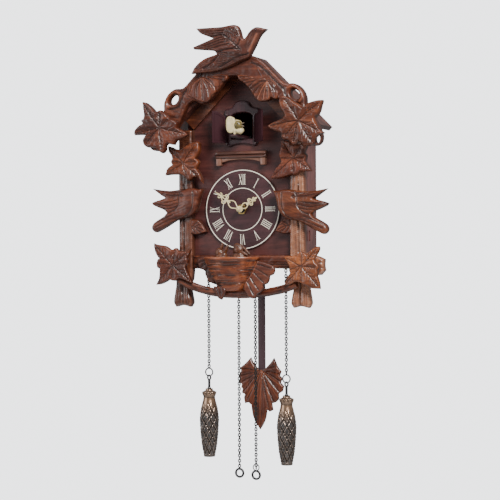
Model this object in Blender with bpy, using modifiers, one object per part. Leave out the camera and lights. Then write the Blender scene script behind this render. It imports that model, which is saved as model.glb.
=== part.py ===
"""A wall-hung cuckoo clock with a quartz movement: carved case, moving bird and doors, pendulum, chains and weights.

Frame: +X is to the right of someone facing the dial, +Y points into the wall and +Z is up. The wall is the plane
y = 0. The origin is on the wall face of the back panel, below the hanging hole. Lengths below are in millimetres, with
heights counted from the centre of the dial, and MM turns them into metres.
"""

import math

import bmesh
import bpy
from mathutils import Matrix, Vector

MM = 0.001

# Driving dimensions. DIAL_Z is the height of the dial's centre above the origin.
DIAL_Z = -115.0
GAP = 0.3
BOARD = 6.0
CASE_HALF = 65.5
CASE_BOTTOM = -71.0
FACADE_HALF = 72.0
FACADE_FRONT = -78.0
FACADE_BACK = FACADE_FRONT + BOARD
ROOF_APEX = 188.5
ROOF_EAVE = 87.0
ROOF_FRONT = -97.7
SOFFIT_APEX = ROOF_APEX - BOARD * math.sqrt(2)
CARVING_FRONT = -110.0
CARVING_THICK = 11.7
FRAME_FRONT = -88.3
DIAL_FRONT = -80.0
DIAL_RADIUS = 48.6

DOORWAY_HALF = 14.0
DOORWAY_SILL = 84.6
DOORWAY_SPRING = 111.0
DOORWAY_TOP = 116.6
DOOR_HINGE_X = 18.5
DOOR_HINGE_Y = -83.6
DOOR_OPEN = 140.0
DOOR_THICK = 1.8
DOOR_BOTTOM = 80.0

PITCH_ANGLE = math.radians(25)
RACK_MODULE = 0.8
RACK_TEETH = 12
RACK_Z = 85.5
PINION_Y = -62.0
FRONT_TRAIN = 0.4
REAR_TRAIN = 0.5
TRAIN_CENTRES = 10.0

PENDULUM_PIVOT = 20.0
PENDULUM_Y = -20.0

CHAIN_Y = -67.0
CHAIN_TOP = -71.6
CHAIN_RADIUS = 1.5
OUTER_CHAIN_X = 50.5
INNER_CHAIN_X = 10.8
RING_RADIUS = 4.2
WEIGHT_RING_Z = {"left": -197.5, "right": -203.0}
PULL_RING_Z = {"left": -318.5, "right": -320.0}
PULL_RING_RADIUS = 5.4
PULL_CHAIN_END = {"left": -312.0, "right": -313.0}

MINUTE_ANGLE = 55.4
HOUR_ANGLE = -58.0

FACING = {
    "front": (math.pi / 2, 0, 0),
    "side": (math.pi / 2, 0, math.pi / 2),
    "flat": (0, 0, 0),
}

LOOKS = {
    "walnut_board": ((0.060, 0.024, 0.022), 0.40, 0.0),
    "carved_wood": ((0.190, 0.060, 0.028), 0.35, 0.0),
    "dark_trim": ((0.035, 0.014, 0.020), 0.45, 0.0),
    "dial_face": ((0.030, 0.015, 0.022), 0.50, 0.0),
    "ivory": ((0.780, 0.690, 0.450), 0.45, 0.0),
    "brass": ((0.640, 0.430, 0.160), 0.30, 1.0),
    "steel": ((0.300, 0.290, 0.280), 0.35, 1.0),
    "bronze": ((0.230, 0.150, 0.090), 0.40, 0.8),
    "black_plastic": ((0.020, 0.020, 0.022), 0.50, 0.0),
    "battery_wrap": ((0.050, 0.140, 0.090), 0.35, 0.0),
}


def clear_scene():
    for obj in list(bpy.data.objects):
        bpy.data.objects.remove(obj, do_unlink=True)


def new_collection(name):
    collection = bpy.data.collections.new(name)
    bpy.context.scene.collection.children.link(collection)
    return collection


clear_scene()
PARTS = new_collection("cuckoo_clock")
CUTTERS = new_collection("cutters")
CUTTERS.hide_render = True


def material(look):
    found = bpy.data.materials.get(look)
    if found:
        return found
    colour, roughness, metallic = LOOKS[look]
    made = bpy.data.materials.new(look)
    made.use_nodes = True
    shader = made.node_tree.nodes["Principled BSDF"]
    shader.inputs["Base Color"].default_value = (*colour, 1)
    shader.inputs["Roughness"].default_value = roughness
    shader.inputs["Metallic"].default_value = metallic
    return made


class Pivot:
    """An empty that carries pieces. Its place and theirs are given in the clock's own millimetres."""

    def __init__(self, name, at, parent=None, turn=None):
        self.at = Vector(at)
        self.empty = bpy.data.objects.new(name, None)
        self.empty.empty_display_size = 0.01
        PARTS.objects.link(self.empty)
        if parent is None:
            self.empty.location = self.at * MM
        else:
            self.empty.parent = parent.empty
            self.empty.location = (self.at - parent.at) * MM
        if turn:
            axis, degrees = turn
            self.empty.rotation_euler["XYZ".index(axis)] = math.radians(degrees)

    def hold(self, obj, at):
        obj.parent = self.empty
        obj.location = (Vector(at) - self.at) * MM


# The clock's empty sits at the dial's centre, which is the zero of every height below.
CLOCK = Pivot("clock", (0, 0, 0))
CLOCK.empty.location.z = DIAL_Z * MM


def put(obj, look, at, pivot, tool):
    (CUTTERS if tool else PARTS).objects.link(obj)
    if tool:
        obj.hide_render = True
        obj.display_type = "WIRE"
    elif look:
        obj.data.materials.append(material(look))
    (pivot or CLOCK).hold(obj, at)
    return obj


def plate(name, outline, thick, at, look=None, facing="front", holes=(), pivot=None, tool=False):
    """A flat board of this outline and thickness, centred on at. A tool is a cutter or a piece to be joined."""
    curve = bpy.data.curves.new(name, "CURVE")
    curve.dimensions = "2D"
    curve.fill_mode = "BOTH"
    curve.extrude = thick / 2 * MM
    for ring in (outline, *holes):
        spline = curve.splines.new("POLY")
        spline.points.add(len(ring) - 1)
        for point, (across, up) in zip(spline.points, ring):
            point.co = (across * MM, up * MM, 0, 1)
        spline.use_cyclic_u = True
    obj = bpy.data.objects.new(name, curve)
    obj.rotation_euler = FACING[facing]
    return put(obj, look, at, pivot, tool)


def solid(obj):
    """The curve object as a mesh object with welded caps, so that a Boolean can use it."""
    bpy.context.view_layer.update()
    graph = bpy.context.evaluated_depsgraph_get()
    mesh = bpy.data.meshes.new_from_object(obj.evaluated_get(graph))
    welded = bmesh.new()
    welded.from_mesh(mesh)
    bmesh.ops.remove_doubles(welded, verts=welded.verts, dist=1e-6)
    bmesh.ops.recalc_face_normals(welded, faces=welded.faces)
    welded.to_mesh(mesh)
    welded.free()
    name = obj.name
    made = bpy.data.objects.new(name + "_mesh", mesh)
    made.parent = obj.parent
    made.location = obj.location
    made.rotation_euler = obj.rotation_euler
    made.hide_render = obj.hide_render
    made.display_type = obj.display_type
    for collection in obj.users_collection:
        collection.objects.link(made)
    bpy.data.objects.remove(obj, do_unlink=True)
    made.name = name
    return made


def mesh_object(name, build, look, at, axis="Z", pivot=None, tool=False, smooth=True):
    """An object whose mesh build(bm) makes about the origin along Z, turned so that Z lies along axis."""
    mesh = bpy.data.meshes.new(name)
    shape = bmesh.new()
    build(shape)
    shape.to_mesh(mesh)
    shape.free()
    if smooth:
        mesh.shade_smooth()
        mesh.set_sharp_from_angle(angle=math.radians(40))
    obj = bpy.data.objects.new(name, mesh)
    obj.rotation_euler = {
        "X": (0, math.pi / 2, 0),
        "Y": (-math.pi / 2, 0, 0),
        "Z": (0, 0, 0),
    }[axis]
    return put(obj, look, at, pivot, tool)


def rod(name, radius, length, at, axis, look=None, pivot=None, tool=False, sides=16, top=None):
    """A round bar, or a cone when top gives its other radius, centred on at."""

    def build(shape):
        bmesh.ops.create_cone(
            shape,
            cap_ends=True,
            segments=sides,
            radius1=radius * MM,
            radius2=(radius if top is None else top) * MM,
            depth=length * MM,
        )

    return mesh_object(name, build, look, at, axis, pivot, tool)


def box(name, size, at, look=None, pivot=None, tool=False):
    def build(shape):
        bmesh.ops.create_cube(shape, size=1)
        bmesh.ops.scale(shape, vec=Vector(size) * MM, verts=shape.verts)

    return mesh_object(name, build, look, at, pivot=pivot, tool=tool, smooth=False)


def ball(name, radii, at, look=None, pivot=None, tool=False, segments=16, rings=10):
    def build(shape):
        bmesh.ops.create_uvsphere(shape, u_segments=segments, v_segments=rings, radius=MM)
        bmesh.ops.scale(shape, vec=Vector(radii), verts=shape.verts)

    return mesh_object(name, build, look, at, pivot=pivot, tool=tool)


def turned(name, profile, at, look, axis="Z", pivot=None, sides=24, tool=False):
    """A turned piece. profile is a closed run of (radius, height) that goes down its outer side."""

    def build(shape):
        points = [shape.verts.new((radius * MM, 0, height * MM)) for radius, height in profile]
        for first, second in zip(points, points[1:]):
            shape.edges.new((first, second))
        if profile[0][0] > 0:
            shape.edges.new((points[-1], points[0]))

    obj = mesh_object(name, build, look, at, axis, pivot, tool, smooth=False)
    screw = obj.modifiers.new("turn", "SCREW")
    screw.steps = screw.render_steps = sides
    screw.use_merge_vertices = True
    screw.merge_threshold = 1e-6
    screw.use_smooth_shade = True
    return obj


def ring(name, major, minor, at, axis, look=None, pivot=None, tool=False, sides=24):
    """A wire ring whose hole looks along axis."""
    circle = [
        (major + minor * math.cos(-turn * math.pi / 4), minor * math.sin(-turn * math.pi / 4))
        for turn in range(8)
    ]
    return turned(name, circle, at, look, axis, pivot, sides, tool)


def tube(name, route, radius, look, pivot=None):
    """A round wire or rail along route, a list of places."""
    start = Vector(route[0])
    curve = bpy.data.curves.new(name, "CURVE")
    curve.dimensions = "3D"
    curve.bevel_depth = radius * MM
    curve.bevel_resolution = 2
    curve.use_fill_caps = True
    spline = curve.splines.new("POLY")
    spline.points.add(len(route) - 1)
    for point, place in zip(spline.points, route):
        point.co = (*((Vector(place) - start) * MM), 1)
    return put(bpy.data.objects.new(name, curve), look, start, pivot, False)


def combine(target, operation, other):
    modifier = target.modifiers.new(other.name, "BOOLEAN")
    modifier.operation = operation
    modifier.object = other
    modifier.solver = "EXACT"
    return target


def cut(target, *tools):
    for tool in tools:
        combine(target, "DIFFERENCE", tool)
    return target


def join(target, *others):
    for other in others:
        combine(target, "UNION", other)
    return target


# ---- Outlines -------------------------------------------------------------------------------------------------


def mirrored(points):
    """The same points with left and right exchanged, still running the same way round."""
    return [(-across, up) for across, up in reversed(points)]


def arc(centre, radius, start, stop, steps):
    """Points on a circle, or on an ellipse when radius is a pair, from start to stop in degrees."""
    wide, high = radius if isinstance(radius, tuple) else (radius, radius)
    points = []
    for step in range(steps + 1):
        angle = math.radians(start + (stop - start) * step / steps)
        points.append((centre[0] + wide * math.cos(angle), centre[1] + high * math.sin(angle)))
    return points


def circle(centre, radius, steps=16):
    return arc(centre, radius, 0, 360 - 360 / steps, steps - 1)


def rectangle(left, bottom, right, top):
    return [(left, bottom), (right, bottom), (right, top), (left, top)]


def gear_outline(teeth, module, phase=0.0):
    """Teeth cut a little thin and short, so that meshed gears keep a clearance. phase is in tooth pitches."""
    radius = teeth * module / 2
    base = radius * math.cos(PITCH_ANGLE)
    slack = 0.12 * module / radius
    at_pitch = math.pi / (2 * teeth) - slack
    flare = math.tan(PITCH_ANGLE) - PITCH_ANGLE

    def half_angle(reach):
        spread = math.acos(min(1.0, base / reach))
        return at_pitch + flare - (math.tan(spread) - spread)

    flank = [(radius - 0.98 * module, half_angle(base))]
    flank += [(reach, half_angle(reach)) for reach in (radius, radius + 0.75 * module)]
    points = []
    for tooth in range(teeth):
        middle = 2 * math.pi * (tooth + phase) / teeth
        both = [(reach, -half) for reach, half in flank] + [(reach, half) for reach, half in reversed(flank)]
        points += [(reach * math.cos(middle + turn), reach * math.sin(middle + turn)) for reach, turn in both]
    return points


# ---- Case -----------------------------------------------------------------------------------------------------


def doorway(half, sill, spring, top):
    """An opening with a level sill and an arched head."""
    return [(-half, sill), (half, sill)] + arc((0, spring), (half, top - spring), 0, 180, 8)


def make_case():
    soffit = SOFFIT_APEX - 0.4
    inside = CASE_HALF - BOARD - GAP
    facade = [
        (-FACADE_HALF, CASE_BOTTOM),
        (FACADE_HALF, CASE_BOTTOM),
        (FACADE_HALF, soffit - FACADE_HALF),
        (0, soffit),
        (-FACADE_HALF, soffit - FACADE_HALF),
    ]
    plate(
        "facade",
        facade,
        BOARD,
        (0, FACADE_FRONT + BOARD / 2, 0),
        "walnut_board",
        holes=[
            doorway(DOORWAY_HALF, DOORWAY_SILL, DOORWAY_SPRING, DOORWAY_TOP),
            circle((0, 0), 4.4),
        ],
    )

    depth = -FACADE_BACK - GAP
    slots = [rectangle(-38, -38.5, -32.5, -25.5), rectangle(-28, -38.5, -22.5, -25.5)]
    side = rectangle(-depth, CASE_BOTTOM, 0, soffit - CASE_HALF)
    for name, sign in (("left", -1), ("right", 1)):
        place = (sign * (CASE_HALF - BOARD / 2), 0, 0)
        plate(f"side_panel_{name}", side, BOARD, place, "walnut_board", "side", holes=slots)

    plate(
        "bottom_panel",
        rectangle(-inside, -depth, inside, 0),
        BOARD,
        (0, 0, CASE_BOTTOM + BOARD / 2),
        "walnut_board",
        "flat",
        holes=[rectangle(-15.5, -27, 15.5, -13)],
    )

    keyhole = arc((0, 131), 4.5, 120, 420, 10) + arc((0, 142), 2.2, 0, 180, 5)
    back = [
        (-inside, CASE_BOTTOM + BOARD + GAP),
        (inside, CASE_BOTTOM + BOARD + GAP),
        (inside, soffit - inside),
        (0, soffit),
        (-inside, soffit - inside),
    ]
    panel = solid(
        plate(
            "back_panel",
            back,
            BOARD,
            (0, -BOARD / 2, 0),
            "walnut_board",
            holes=[rectangle(-42, -45, 42, 75), keyhole],
        )
    )
    swing = Pivot("back_door_hinge", (-38.5, -3, 0), CLOCK)
    door = solid(
        plate(
            "back_door",
            rectangle(-41, -44, 41, 74),
            4,
            (0, -3, 0),
            "walnut_board",
            holes=[circle((34, 15), 5)],
            pivot=swing,
        )
    )
    for end, level in (("low", -45), ("high", 75)):
        pivot_pin = rod(f"door_pivot_{end}", 0.9, 8, (-38.5, -3, level), "Z", pivot=swing, tool=True)
        join(door, pivot_pin)
        cut(panel, rod(f"pivot_bore_{end}", 1.3, 10, (-38.5, -3, level), "Z", tool=True))


def make_roof():
    drop = BOARD / math.sqrt(2)
    top = [(GAP / 2, ROOF_APEX), (ROOF_EAVE, ROOF_APEX - ROOF_EAVE)]
    slope = top + [(ROOF_EAVE - drop, ROOF_APEX - ROOF_EAVE - drop), (GAP / 2, SOFFIT_APEX)]
    under = SOFFIT_APEX - GAP
    wide = 14 / math.sqrt(2)
    batten = [
        (GAP / 2, under),
        (72, under - 72),
        (72 - wide, under - 72 - wide),
        (GAP / 2, under - 2 * wide),
    ]
    middle = ROOF_FRONT / 2
    for name, shape in (("right", list), ("left", mirrored)):
        plate(f"roof_{name}", shape(slope), -ROOF_FRONT, (0, middle, 0), "walnut_board")
        front = FACADE_FRONT - GAP - 2.5
        plate(f"roof_batten_{name}", shape(batten), 5, (0, front, 0), "carved_wood")


# ---- Carvings -------------------------------------------------------------------------------------------------

CARVING_OUTER = [
    (0, 178),
    (27, 179),
    (39, 172),
    (52, 159),
    (66, 146),
    (77, 145),
    (86, 139),
    (91, 129),
    (92, 118),
    (101, 104),
    (107, 92),
    (109, 82),
    (105, 73),
    (98, 71),
    (93, 77),
    (86, 92),
]
CARVING_INNER = [
    (74, 98),
    (66, 112),
    (60, 125),
    (52, 130),
    (42, 126),
    (32, 128.5),
    (23, 138),
    (14, 148),
    (7, 156.5),
]
TOP_BIRD = [
    (47, 209),
    (33, 212),
    (26, 208.5),
    (18.5, 199),
    (15.5, 201),
    (13, 209.5),
    (9.5, 215),
    (3.5, 216.5),
    (-11, 215),
    (-44, 215),
    (-38.5, 209),
    (-22, 202),
    (-48, 193),
    (-47, 190.5),
    (-20.5, 187),
    (-17.5, 183),
    (-34, 178),
    (-45, 170),
    (-50.5, 161.5),
    (-33.5, 162),
    (-15, 163.5),
    (-2.5, 167),
    (12, 172.5),
    (24.5, 177.5),
    (27.5, 181.5),
    (32.5, 190),
    (39, 202),
]
SIDE_BIRD = [
    (43, 26),
    (52, 24.5),
    (60, 23.5),
    (110.5, 25),
    (96, 14.5),
    (111.5, 5),
    (93, 1),
    (83, -5),
    (110, -17),
    (112, -24),
    (105, -28),
    (72, -11),
    (60, -8.5),
    (50, 3),
    (46, 14),
]
POST = [
    (63, 97),
    (63, -10),
    (56, -13),
    (45, -26.5),
    (56, -30),
    (63, -28),
    (63, -70),
    (64.5, -84),
    (67.5, -90),
    (64, -112),
    (67, -117.5),
    (76, -115.5),
    (86, -117.5),
    (89, -112),
    (86, -91),
    (86, -80),
    (101, -78.5),
    (106, -73),
    (105, -67),
    (105.5, -60),
    (99, -57),
    (81.5, -52),
    (81.5, 97),
]


def slanted_hole(centre, long, short, tilt, steps=14):
    """An oval hole whose long side is turned by tilt degrees."""
    turn = Matrix.Rotation(math.radians(tilt), 2)
    points = [turn @ Vector(point) for point in circle((0, 0), (long, short), steps)]
    return [(centre[0] + point.x, centre[1] + point.y) for point in points]


def make_roof_carving():
    right = CARVING_OUTER + CARVING_INNER + [(0, 157.5)]
    outline = right + mirrored(right[1:-1])
    holes = []
    for sign in (1, -1):
        holes.append(slanted_hole((sign * 78, 132.5), 6.8, 5.0, sign * -45))
        holes.append(circle((sign * 101, 80), 3.4, 10))
    middle = CARVING_FRONT + CARVING_THICK / 2
    plate("roof_carving", outline, CARVING_THICK, (0, middle, 0), "carved_wood", holes=holes)
    plate("top_bird", TOP_BIRD, 9.4, (0, CARVING_FRONT - GAP - 4.7, 0), "carved_wood")


ROOF_LEAVES = {
    "left": [
        (-116, 131), (-110.5, 129.5), (-96.5, 117.5), (-94, 119.5), (-90.5, 119.5), (-83, 115.5), (-79, 110),
        (-71, 106.5), (-67.5, 103), (-69, 98), (-59, 93), (-55, 89), (-69.5, 83), (-73.5, 77.5), (-81.5, 79),
        (-84.5, 76.5), (-84.5, 73), (-89.5, 68), (-97.5, 74.5), (-108.5, 75.5), (-112.5, 77.5), (-114.5, 81.5),
        (-114.5, 85), (-111, 90.5), (-127, 91), (-126.5, 95.5), (-123.5, 99.5), (-115, 105.5), (-117, 107),
        (-113.5, 111), (-113, 116),
    ],
    "right": [
        (115, 123.5), (98.5, 121), (91.5, 115.5), (76.5, 126.5), (64.5, 130), (61.5, 126.5), (62, 120.5),
        (68.5, 107), (63.5, 103), (52.5, 99.5), (46.5, 95.5), (50, 92.5), (62.5, 87.5), (64.5, 85.5), (64, 81.5),
        (67.5, 79), (72.5, 78.5), (79, 72), (86, 76.5), (92, 71), (102, 71.5), (106, 73.5), (110, 81.5),
        (117, 85.5), (110.5, 92), (106.5, 101), (112.5, 111.5),
    ],
}
POST_LEAVES = {
    "left": [
        (-92.5, 78), (-75.5, 72.5), (-59, 82), (-53.5, 82.5), (-50, 80.5), (-50, 69.5), (-54.5, 62), (-50.5, 56.5),
        (-53.5, 49.5), (-48.5, 42), (-46.5, 31.5), (-53.5, 39), (-65.5, 35.5), (-71, 41), (-75, 42.5), (-96, 42.5),
        (-92.5, 51), (-86.5, 55), (-88, 58), (-86, 62.5), (-91, 70.5),
    ],
    "right": [
        (55, 81), (53, 61.5), (55.5, 55), (40.5, 35.5), (55, 35.5), (69.5, 40), (75, 40), (80, 43), (93.5, 43),
        (86, 55), (87.5, 62), (85, 64.5), (88.5, 73.5), (82.5, 76), (75, 74.5),
    ],
}
CORNER_LEAVES = {
    "left": [
        (-108, -40), (-91.5, -43.5), (-83.5, -48), (-77, -46), (-74, -49.5), (-70.5, -50), (-65, -50), (-58, -47),
        (-63, -57), (-62.5, -64.5), (-65, -67.5), (-57, -88.5), (-62.5, -86.5), (-73.5, -82.5), (-78, -85.5),
        (-86.5, -84), (-96, -89), (-105.5, -90.5), (-100.5, -78.5), (-100, -71), (-103, -69.5), (-104, -66.5),
        (-102.5, -59.5), (-100.5, -58.5), (-106.5, -49),
    ],
    "right": [
        (105.5, -45), (101, -45.5), (90, -54), (83.5, -51), (77.5, -55.5), (60.5, -57), (67, -65.5), (68.5, -76),
        (61.5, -90.5), (70, -89), (75, -86.5), (79.5, -86.5), (92, -93), (106.5, -94.5), (103, -79), (105, -70),
        (100, -59.5), (106, -48),
    ],
}
BIRD_DROP = {"left": 0, "right": -4}


def make_front_carvings():
    layers = (
        ("roof_leaf", ROOF_LEAVES, CARVING_FRONT - GAP, 9.7),
        ("post_leaf", POST_LEAVES, FRAME_FRONT - GAP, 8.9),
        ("corner_leaf", CORNER_LEAVES, -98.8, 6.2),
    )
    for kind, shapes, back, thick in layers:
        for name, outline in shapes.items():
            plate(f"{kind}_{name}", outline, thick, (0, back - thick / 2, 0), "carved_wood")
    thick = -FRAME_FRONT + FACADE_FRONT - GAP
    middle = FRAME_FRONT + thick / 2
    for name, shape in (("right", list), ("left", mirrored)):
        plate(f"post_{name}", shape(POST), thick, (0, middle, 0), "carved_wood")
        place = (0, FRAME_FRONT - GAP - 5.7, BIRD_DROP[name])
        plate(f"side_bird_{name}", shape(SIDE_BIRD), 11.4, place, "carved_wood")
    plate("bottom_rail", rectangle(-62.7, -71, 62.7, -55), thick, (0, middle, 0), "carved_wood")


def make_branch():
    """The low branch sags between the feet as a fourth-power curve and lifts more at its left end."""
    route = []
    for step in range(17):
        across = -76 + 150 * step / 16
        rise = abs(across + 1) / 75
        lift = 13 if across < -1 else 8.5
        route.append((across, -93.5, -101.4 + lift * rise**2 + 4 * rise**4))
    tube("branch", route, 4.8, "carved_wood")


def make_nest():
    def half_cone(shape):
        bmesh.ops.create_cone(
            shape, cap_ends=True, segments=28, radius1=17 * MM, radius2=35 * MM, depth=37.2 * MM
        )
        bmesh.ops.scale(shape, vec=(1, 0.8, 1), verts=shape.verts)
        everything = shape.verts[:] + shape.edges[:] + shape.faces[:]
        sliced = bmesh.ops.bisect_plane(
            shape, geom=everything, plane_co=(0, 0, 0), plane_no=(0, 1, 0), clear_outer=True
        )
        edges = [item for item in sliced["geom_cut"] if isinstance(item, bmesh.types.BMEdge)]
        bmesh.ops.contextual_create(shape, geom=edges)

    place = (-10, FRAME_FRONT - GAP, -75.6)
    nest = mesh_object("nest", half_cone, "carved_wood", place, smooth=False)
    join(nest, ball("nestling_left", (8, 8, 9), (-18, -100, -57), tool=True))
    join(nest, ball("nestling_right", (9, 8, 11), (3, -101, -56), tool=True))
    right = [(34, -62.5), (44, -66.5), (52, -69), (52, -76), (46, -81), (38, -85), (35, -91), (30, -100), (26, -105.5)]
    right += [(20, -104), (16, -96), (17, -90), (24.5, -81), (31, -71)]
    left = [(-45.8, -57.5), (-52.7, -58), (-55, -63.5), (-51.4, -71), (-44.3, -74), (-42, -82), (-38.7, -87)]
    left += [(-34, -88), (-38.6, -75)]
    plate("nest_leaf_right", right, 4, (0, -110.8, 0), "carved_wood")
    plate("nest_leaf_left", left, 4, (0, FRAME_FRONT - GAP - 2, 0), "carved_wood")


# ---- Bird doorway ---------------------------------------------------------------------------------------------


def make_doorway():
    right = [(0, 79), (9, 78), (17, 75.5), (21, 79.5), (22.5, 82), (22.5, 118), (21, 120.5), (13, 122.5), (7, 129)]
    outline = right + [(0, 130.5)] + mirrored(right[1:])
    hole = doorway(DOORWAY_HALF, DOORWAY_SILL, DOORWAY_SPRING, DOORWAY_TOP)
    middle = FACADE_FRONT - GAP - 1.5
    surround = solid(plate("door_surround", outline, 3, (0, middle, 0), "dark_trim", holes=[hole]))
    for side, sign in (("left", -1), ("right", 1)):
        axis = sign * DOOR_HINGE_X
        for end, level in (("low", 78.4), ("high", 113.4)):
            ear = box(f"ear_{end}_{side}", (3.4, 4.6, 1.8), (axis, DOOR_HINGE_Y + 1.0, level), tool=True)
            join(surround, ear)
        join(surround, rod(f"door_pin_{side}", 0.4, 36, (axis, DOOR_HINGE_Y, 96), "Z", tool=True, sides=8))

        hinge = Pivot(f"door_hinge_{side}", (axis, DOOR_HINGE_Y, 0), CLOCK, ("Z", sign * DOOR_OPEN))
        free = 0.2
        shut = [(free, DOOR_BOTTOM), (DOOR_HINGE_X, DOOR_BOTTOM), (DOOR_HINGE_X, 111.5), (13, 114), (7, 117.5)]
        shut.append((free, 118.5))
        shut = shut if sign > 0 else mirrored(shut)
        leaf_board = plate(f"door_{side}", shut, DOOR_THICK, (0, DOOR_HINGE_Y, 0), "dark_trim", pivot=hinge)
        door = solid(leaf_board)
        barrel = rod(f"barrel_{side}", 1.3, 31.5, (axis, DOOR_HINGE_Y, 95.75), "Z", pivot=hinge, tool=True, sides=12)
        bore = rod(f"door_bore_{side}", 0.65, 50, (axis, DOOR_HINGE_Y, 96), "Z", pivot=hinge, tool=True, sides=10)
        join(door, barrel)
        cut(door, bore)

    half = [(0, 69.5), (32.6, 69.5), (32.6, 61), (31.8, 61), (31.8, 52.5), (25.5, 52.5), (25.5, 56), (16, 59), (0, 60)]
    ledge = mirrored(half[1:-1])
    plate("ledge", half + ledge, 8.2, (0, FACADE_FRONT - GAP - 4.1, 0), "carved_wood")


# ---- Dial, hands and movement ---------------------------------------------------------------------------------


def turned_by(points, degrees):
    turn = Matrix.Rotation(math.radians(degrees), 2)
    return [tuple(turn @ Vector(point)) for point in points]


def hand_outline(length, hub):
    """A hand that points up: a hub, a slim stem, a pierced-looking widening and a spear tip."""
    half = [(hub * 0.5, hub * 0.87), (0.9, length * 0.3), (2.4, length * 0.55), (3.6, length * 0.72)]
    half += [(1.2, length * 0.8), (1.6, length * 0.88)]
    return half + [(0, length)] + mirrored(half) + arc((0, 0), hub, 150, 390, 10)


def make_dial():
    thick = FACADE_FRONT - DIAL_FRONT - GAP
    place = (0, DIAL_FRONT + thick / 2, 0)
    plate("dial", circle((0, 0), DIAL_RADIUS, 64), thick, place, "dial_face", holes=[circle((0, 0), 4.4)])


def make_hands(minute, hour):
    """Both hands sit on the dial's axis: the hour hand on its pipe and the minute hand in front, under a cap nut."""
    pointer = turned_by(hand_outline(38.5, 4.2), MINUTE_ANGLE)
    plate("minute_hand", pointer, 0.9, (0, -90.9, 0), "ivory", holes=[circle((0, 0), 1.7, 12)], pivot=minute)
    pointer = turned_by(hand_outline(28.5, 4.8), HOUR_ANGLE)
    plate("hour_hand", pointer, 0.9, (0, -88.2, 0), "ivory", holes=[circle((0, 0), 2.9, 14)], pivot=hour)
    profile = [(0, 1.6), (1.7, 1.6), (1.7, 3.2), (3.2, 3.2), (3.2, 1.2), (2.4, 0.3), (0, 0)]
    turned("hand_nut", profile, (0, -94.8, 0), "brass", "Y", minute, 16)


def make_motion_work(minute, hour):
    """Cannon pinion 10 drives wheel 30, whose pinion 10 drives hour wheel 40: twelve turns of the minute hand to one."""
    pinion = solid(
        plate("minute_arbor", gear_outline(10, REAR_TRAIN), 2, (0, -64, 0), "brass", pivot=minute)
    )
    join(pinion, rod("minute_shaft", 1.4, 34, (0, -76, 0), "Y", pivot=minute, tool=True))

    wheel = solid(plate("hour_wheel", gear_outline(40, FRONT_TRAIN, 0.5), 1.6, (0, -69.2, 0), "brass", pivot=hour))
    join(wheel, rod("hour_pipe", 2.6, 20.7, (0, -78.75, 0), "Y", pivot=hour, tool=True))
    cut(wheel, rod("hour_bore", 1.8, 40, (0, -76, 0), "Y", pivot=hour, tool=True))

    motion = Pivot("motion_axis", (TRAIN_CENTRES, 0, 0), CLOCK)
    place = (TRAIN_CENTRES, -64, 0)
    middle = solid(plate("motion_wheel", gear_outline(30, REAR_TRAIN, 0.5), 1.6, place, "brass", pivot=motion))
    place = (TRAIN_CENTRES, -67.4, 0)
    leaves = solid(plate("motion_pinion", gear_outline(10, FRONT_TRAIN), 5.6, place, pivot=motion, tool=True))
    join(middle, leaves, rod("motion_arbor", 0.8, 17.6, (TRAIN_CENTRES, -59.2, 0), "Y", pivot=motion, tool=True))

    place = (TRAIN_CENTRES, -53.7, 0)
    profile = [(6, 5), (6, 0), (1.1, 0), (1.1, 5)]
    turned("set_knob", profile, place, "black_plastic", "Y", motion, 20)


def make_movement():
    """A tray with the threaded bush on its front, a back cover, the cell it runs on and the nut that holds it."""
    front = FACADE_BACK + GAP
    depth = 16.0
    middle = front + depth / 2
    tray = box("movement_case", (56, depth, 56), (0, middle, 0), "black_plastic")
    cut(tray, box("tray_hollow", (53, depth, 53), (0, middle + 1.1, 0), tool=True))
    join(tray, rod("bush", 4.0, 13.0, (0, front - 5.4, 0), "Y", tool=True, sides=20))
    cut(tray, rod("bush_bore", 2.9, 30, (0, front - 5, 0), "Y", tool=True, sides=20))
    back = front + depth + GAP
    plate("movement_cover", rectangle(-28, -28, 28, 28), 1.2, (0, back + 0.6, 0), "black_plastic",
          holes=[circle((TRAIN_CENTRES, 0), 1.3, 12)])
    rod("battery", 6.9, 50, (0, front + 8.5, -18.8), "X", "battery_wrap", sides=24)
    thread = circle((0, 0), 4.3, 18)
    plate("movement_nut", circle((0, 0), 6.4, 6), 2.2, (0, DIAL_FRONT - GAP - 1.1, 0), "brass", holes=[thread])


# ---- Cuckoo, its carriage and its drive -----------------------------------------------------------------------


def rack_outline(front, back, top):
    """The carriage from the side: a bar whose underside carries teeth that mesh with the drive pinion."""
    pitch = math.pi * RACK_MODULE
    reach = 0.75 * RACK_MODULE
    depth = 0.98 * RACK_MODULE
    at_pitch = pitch / 4 - 0.12 * RACK_MODULE
    at_tip = at_pitch - reach * math.tan(PITCH_ANGLE)
    at_root = at_pitch + depth * math.tan(PITCH_ANGLE)
    teeth = int((PINION_Y - front - at_root) / pitch - 0.5)
    points = [(front, RACK_Z + depth)]
    for index in range(-teeth, 2):
        middle = PINION_Y + (index - 0.5) * pitch
        points += [(middle - at_root, RACK_Z + depth), (middle - at_tip, RACK_Z - reach)]
        points += [(middle + at_tip, RACK_Z - reach), (middle + at_root, RACK_Z + depth)]
    return points + [(back, RACK_Z + depth), (back, top), (front, top)]


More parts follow.
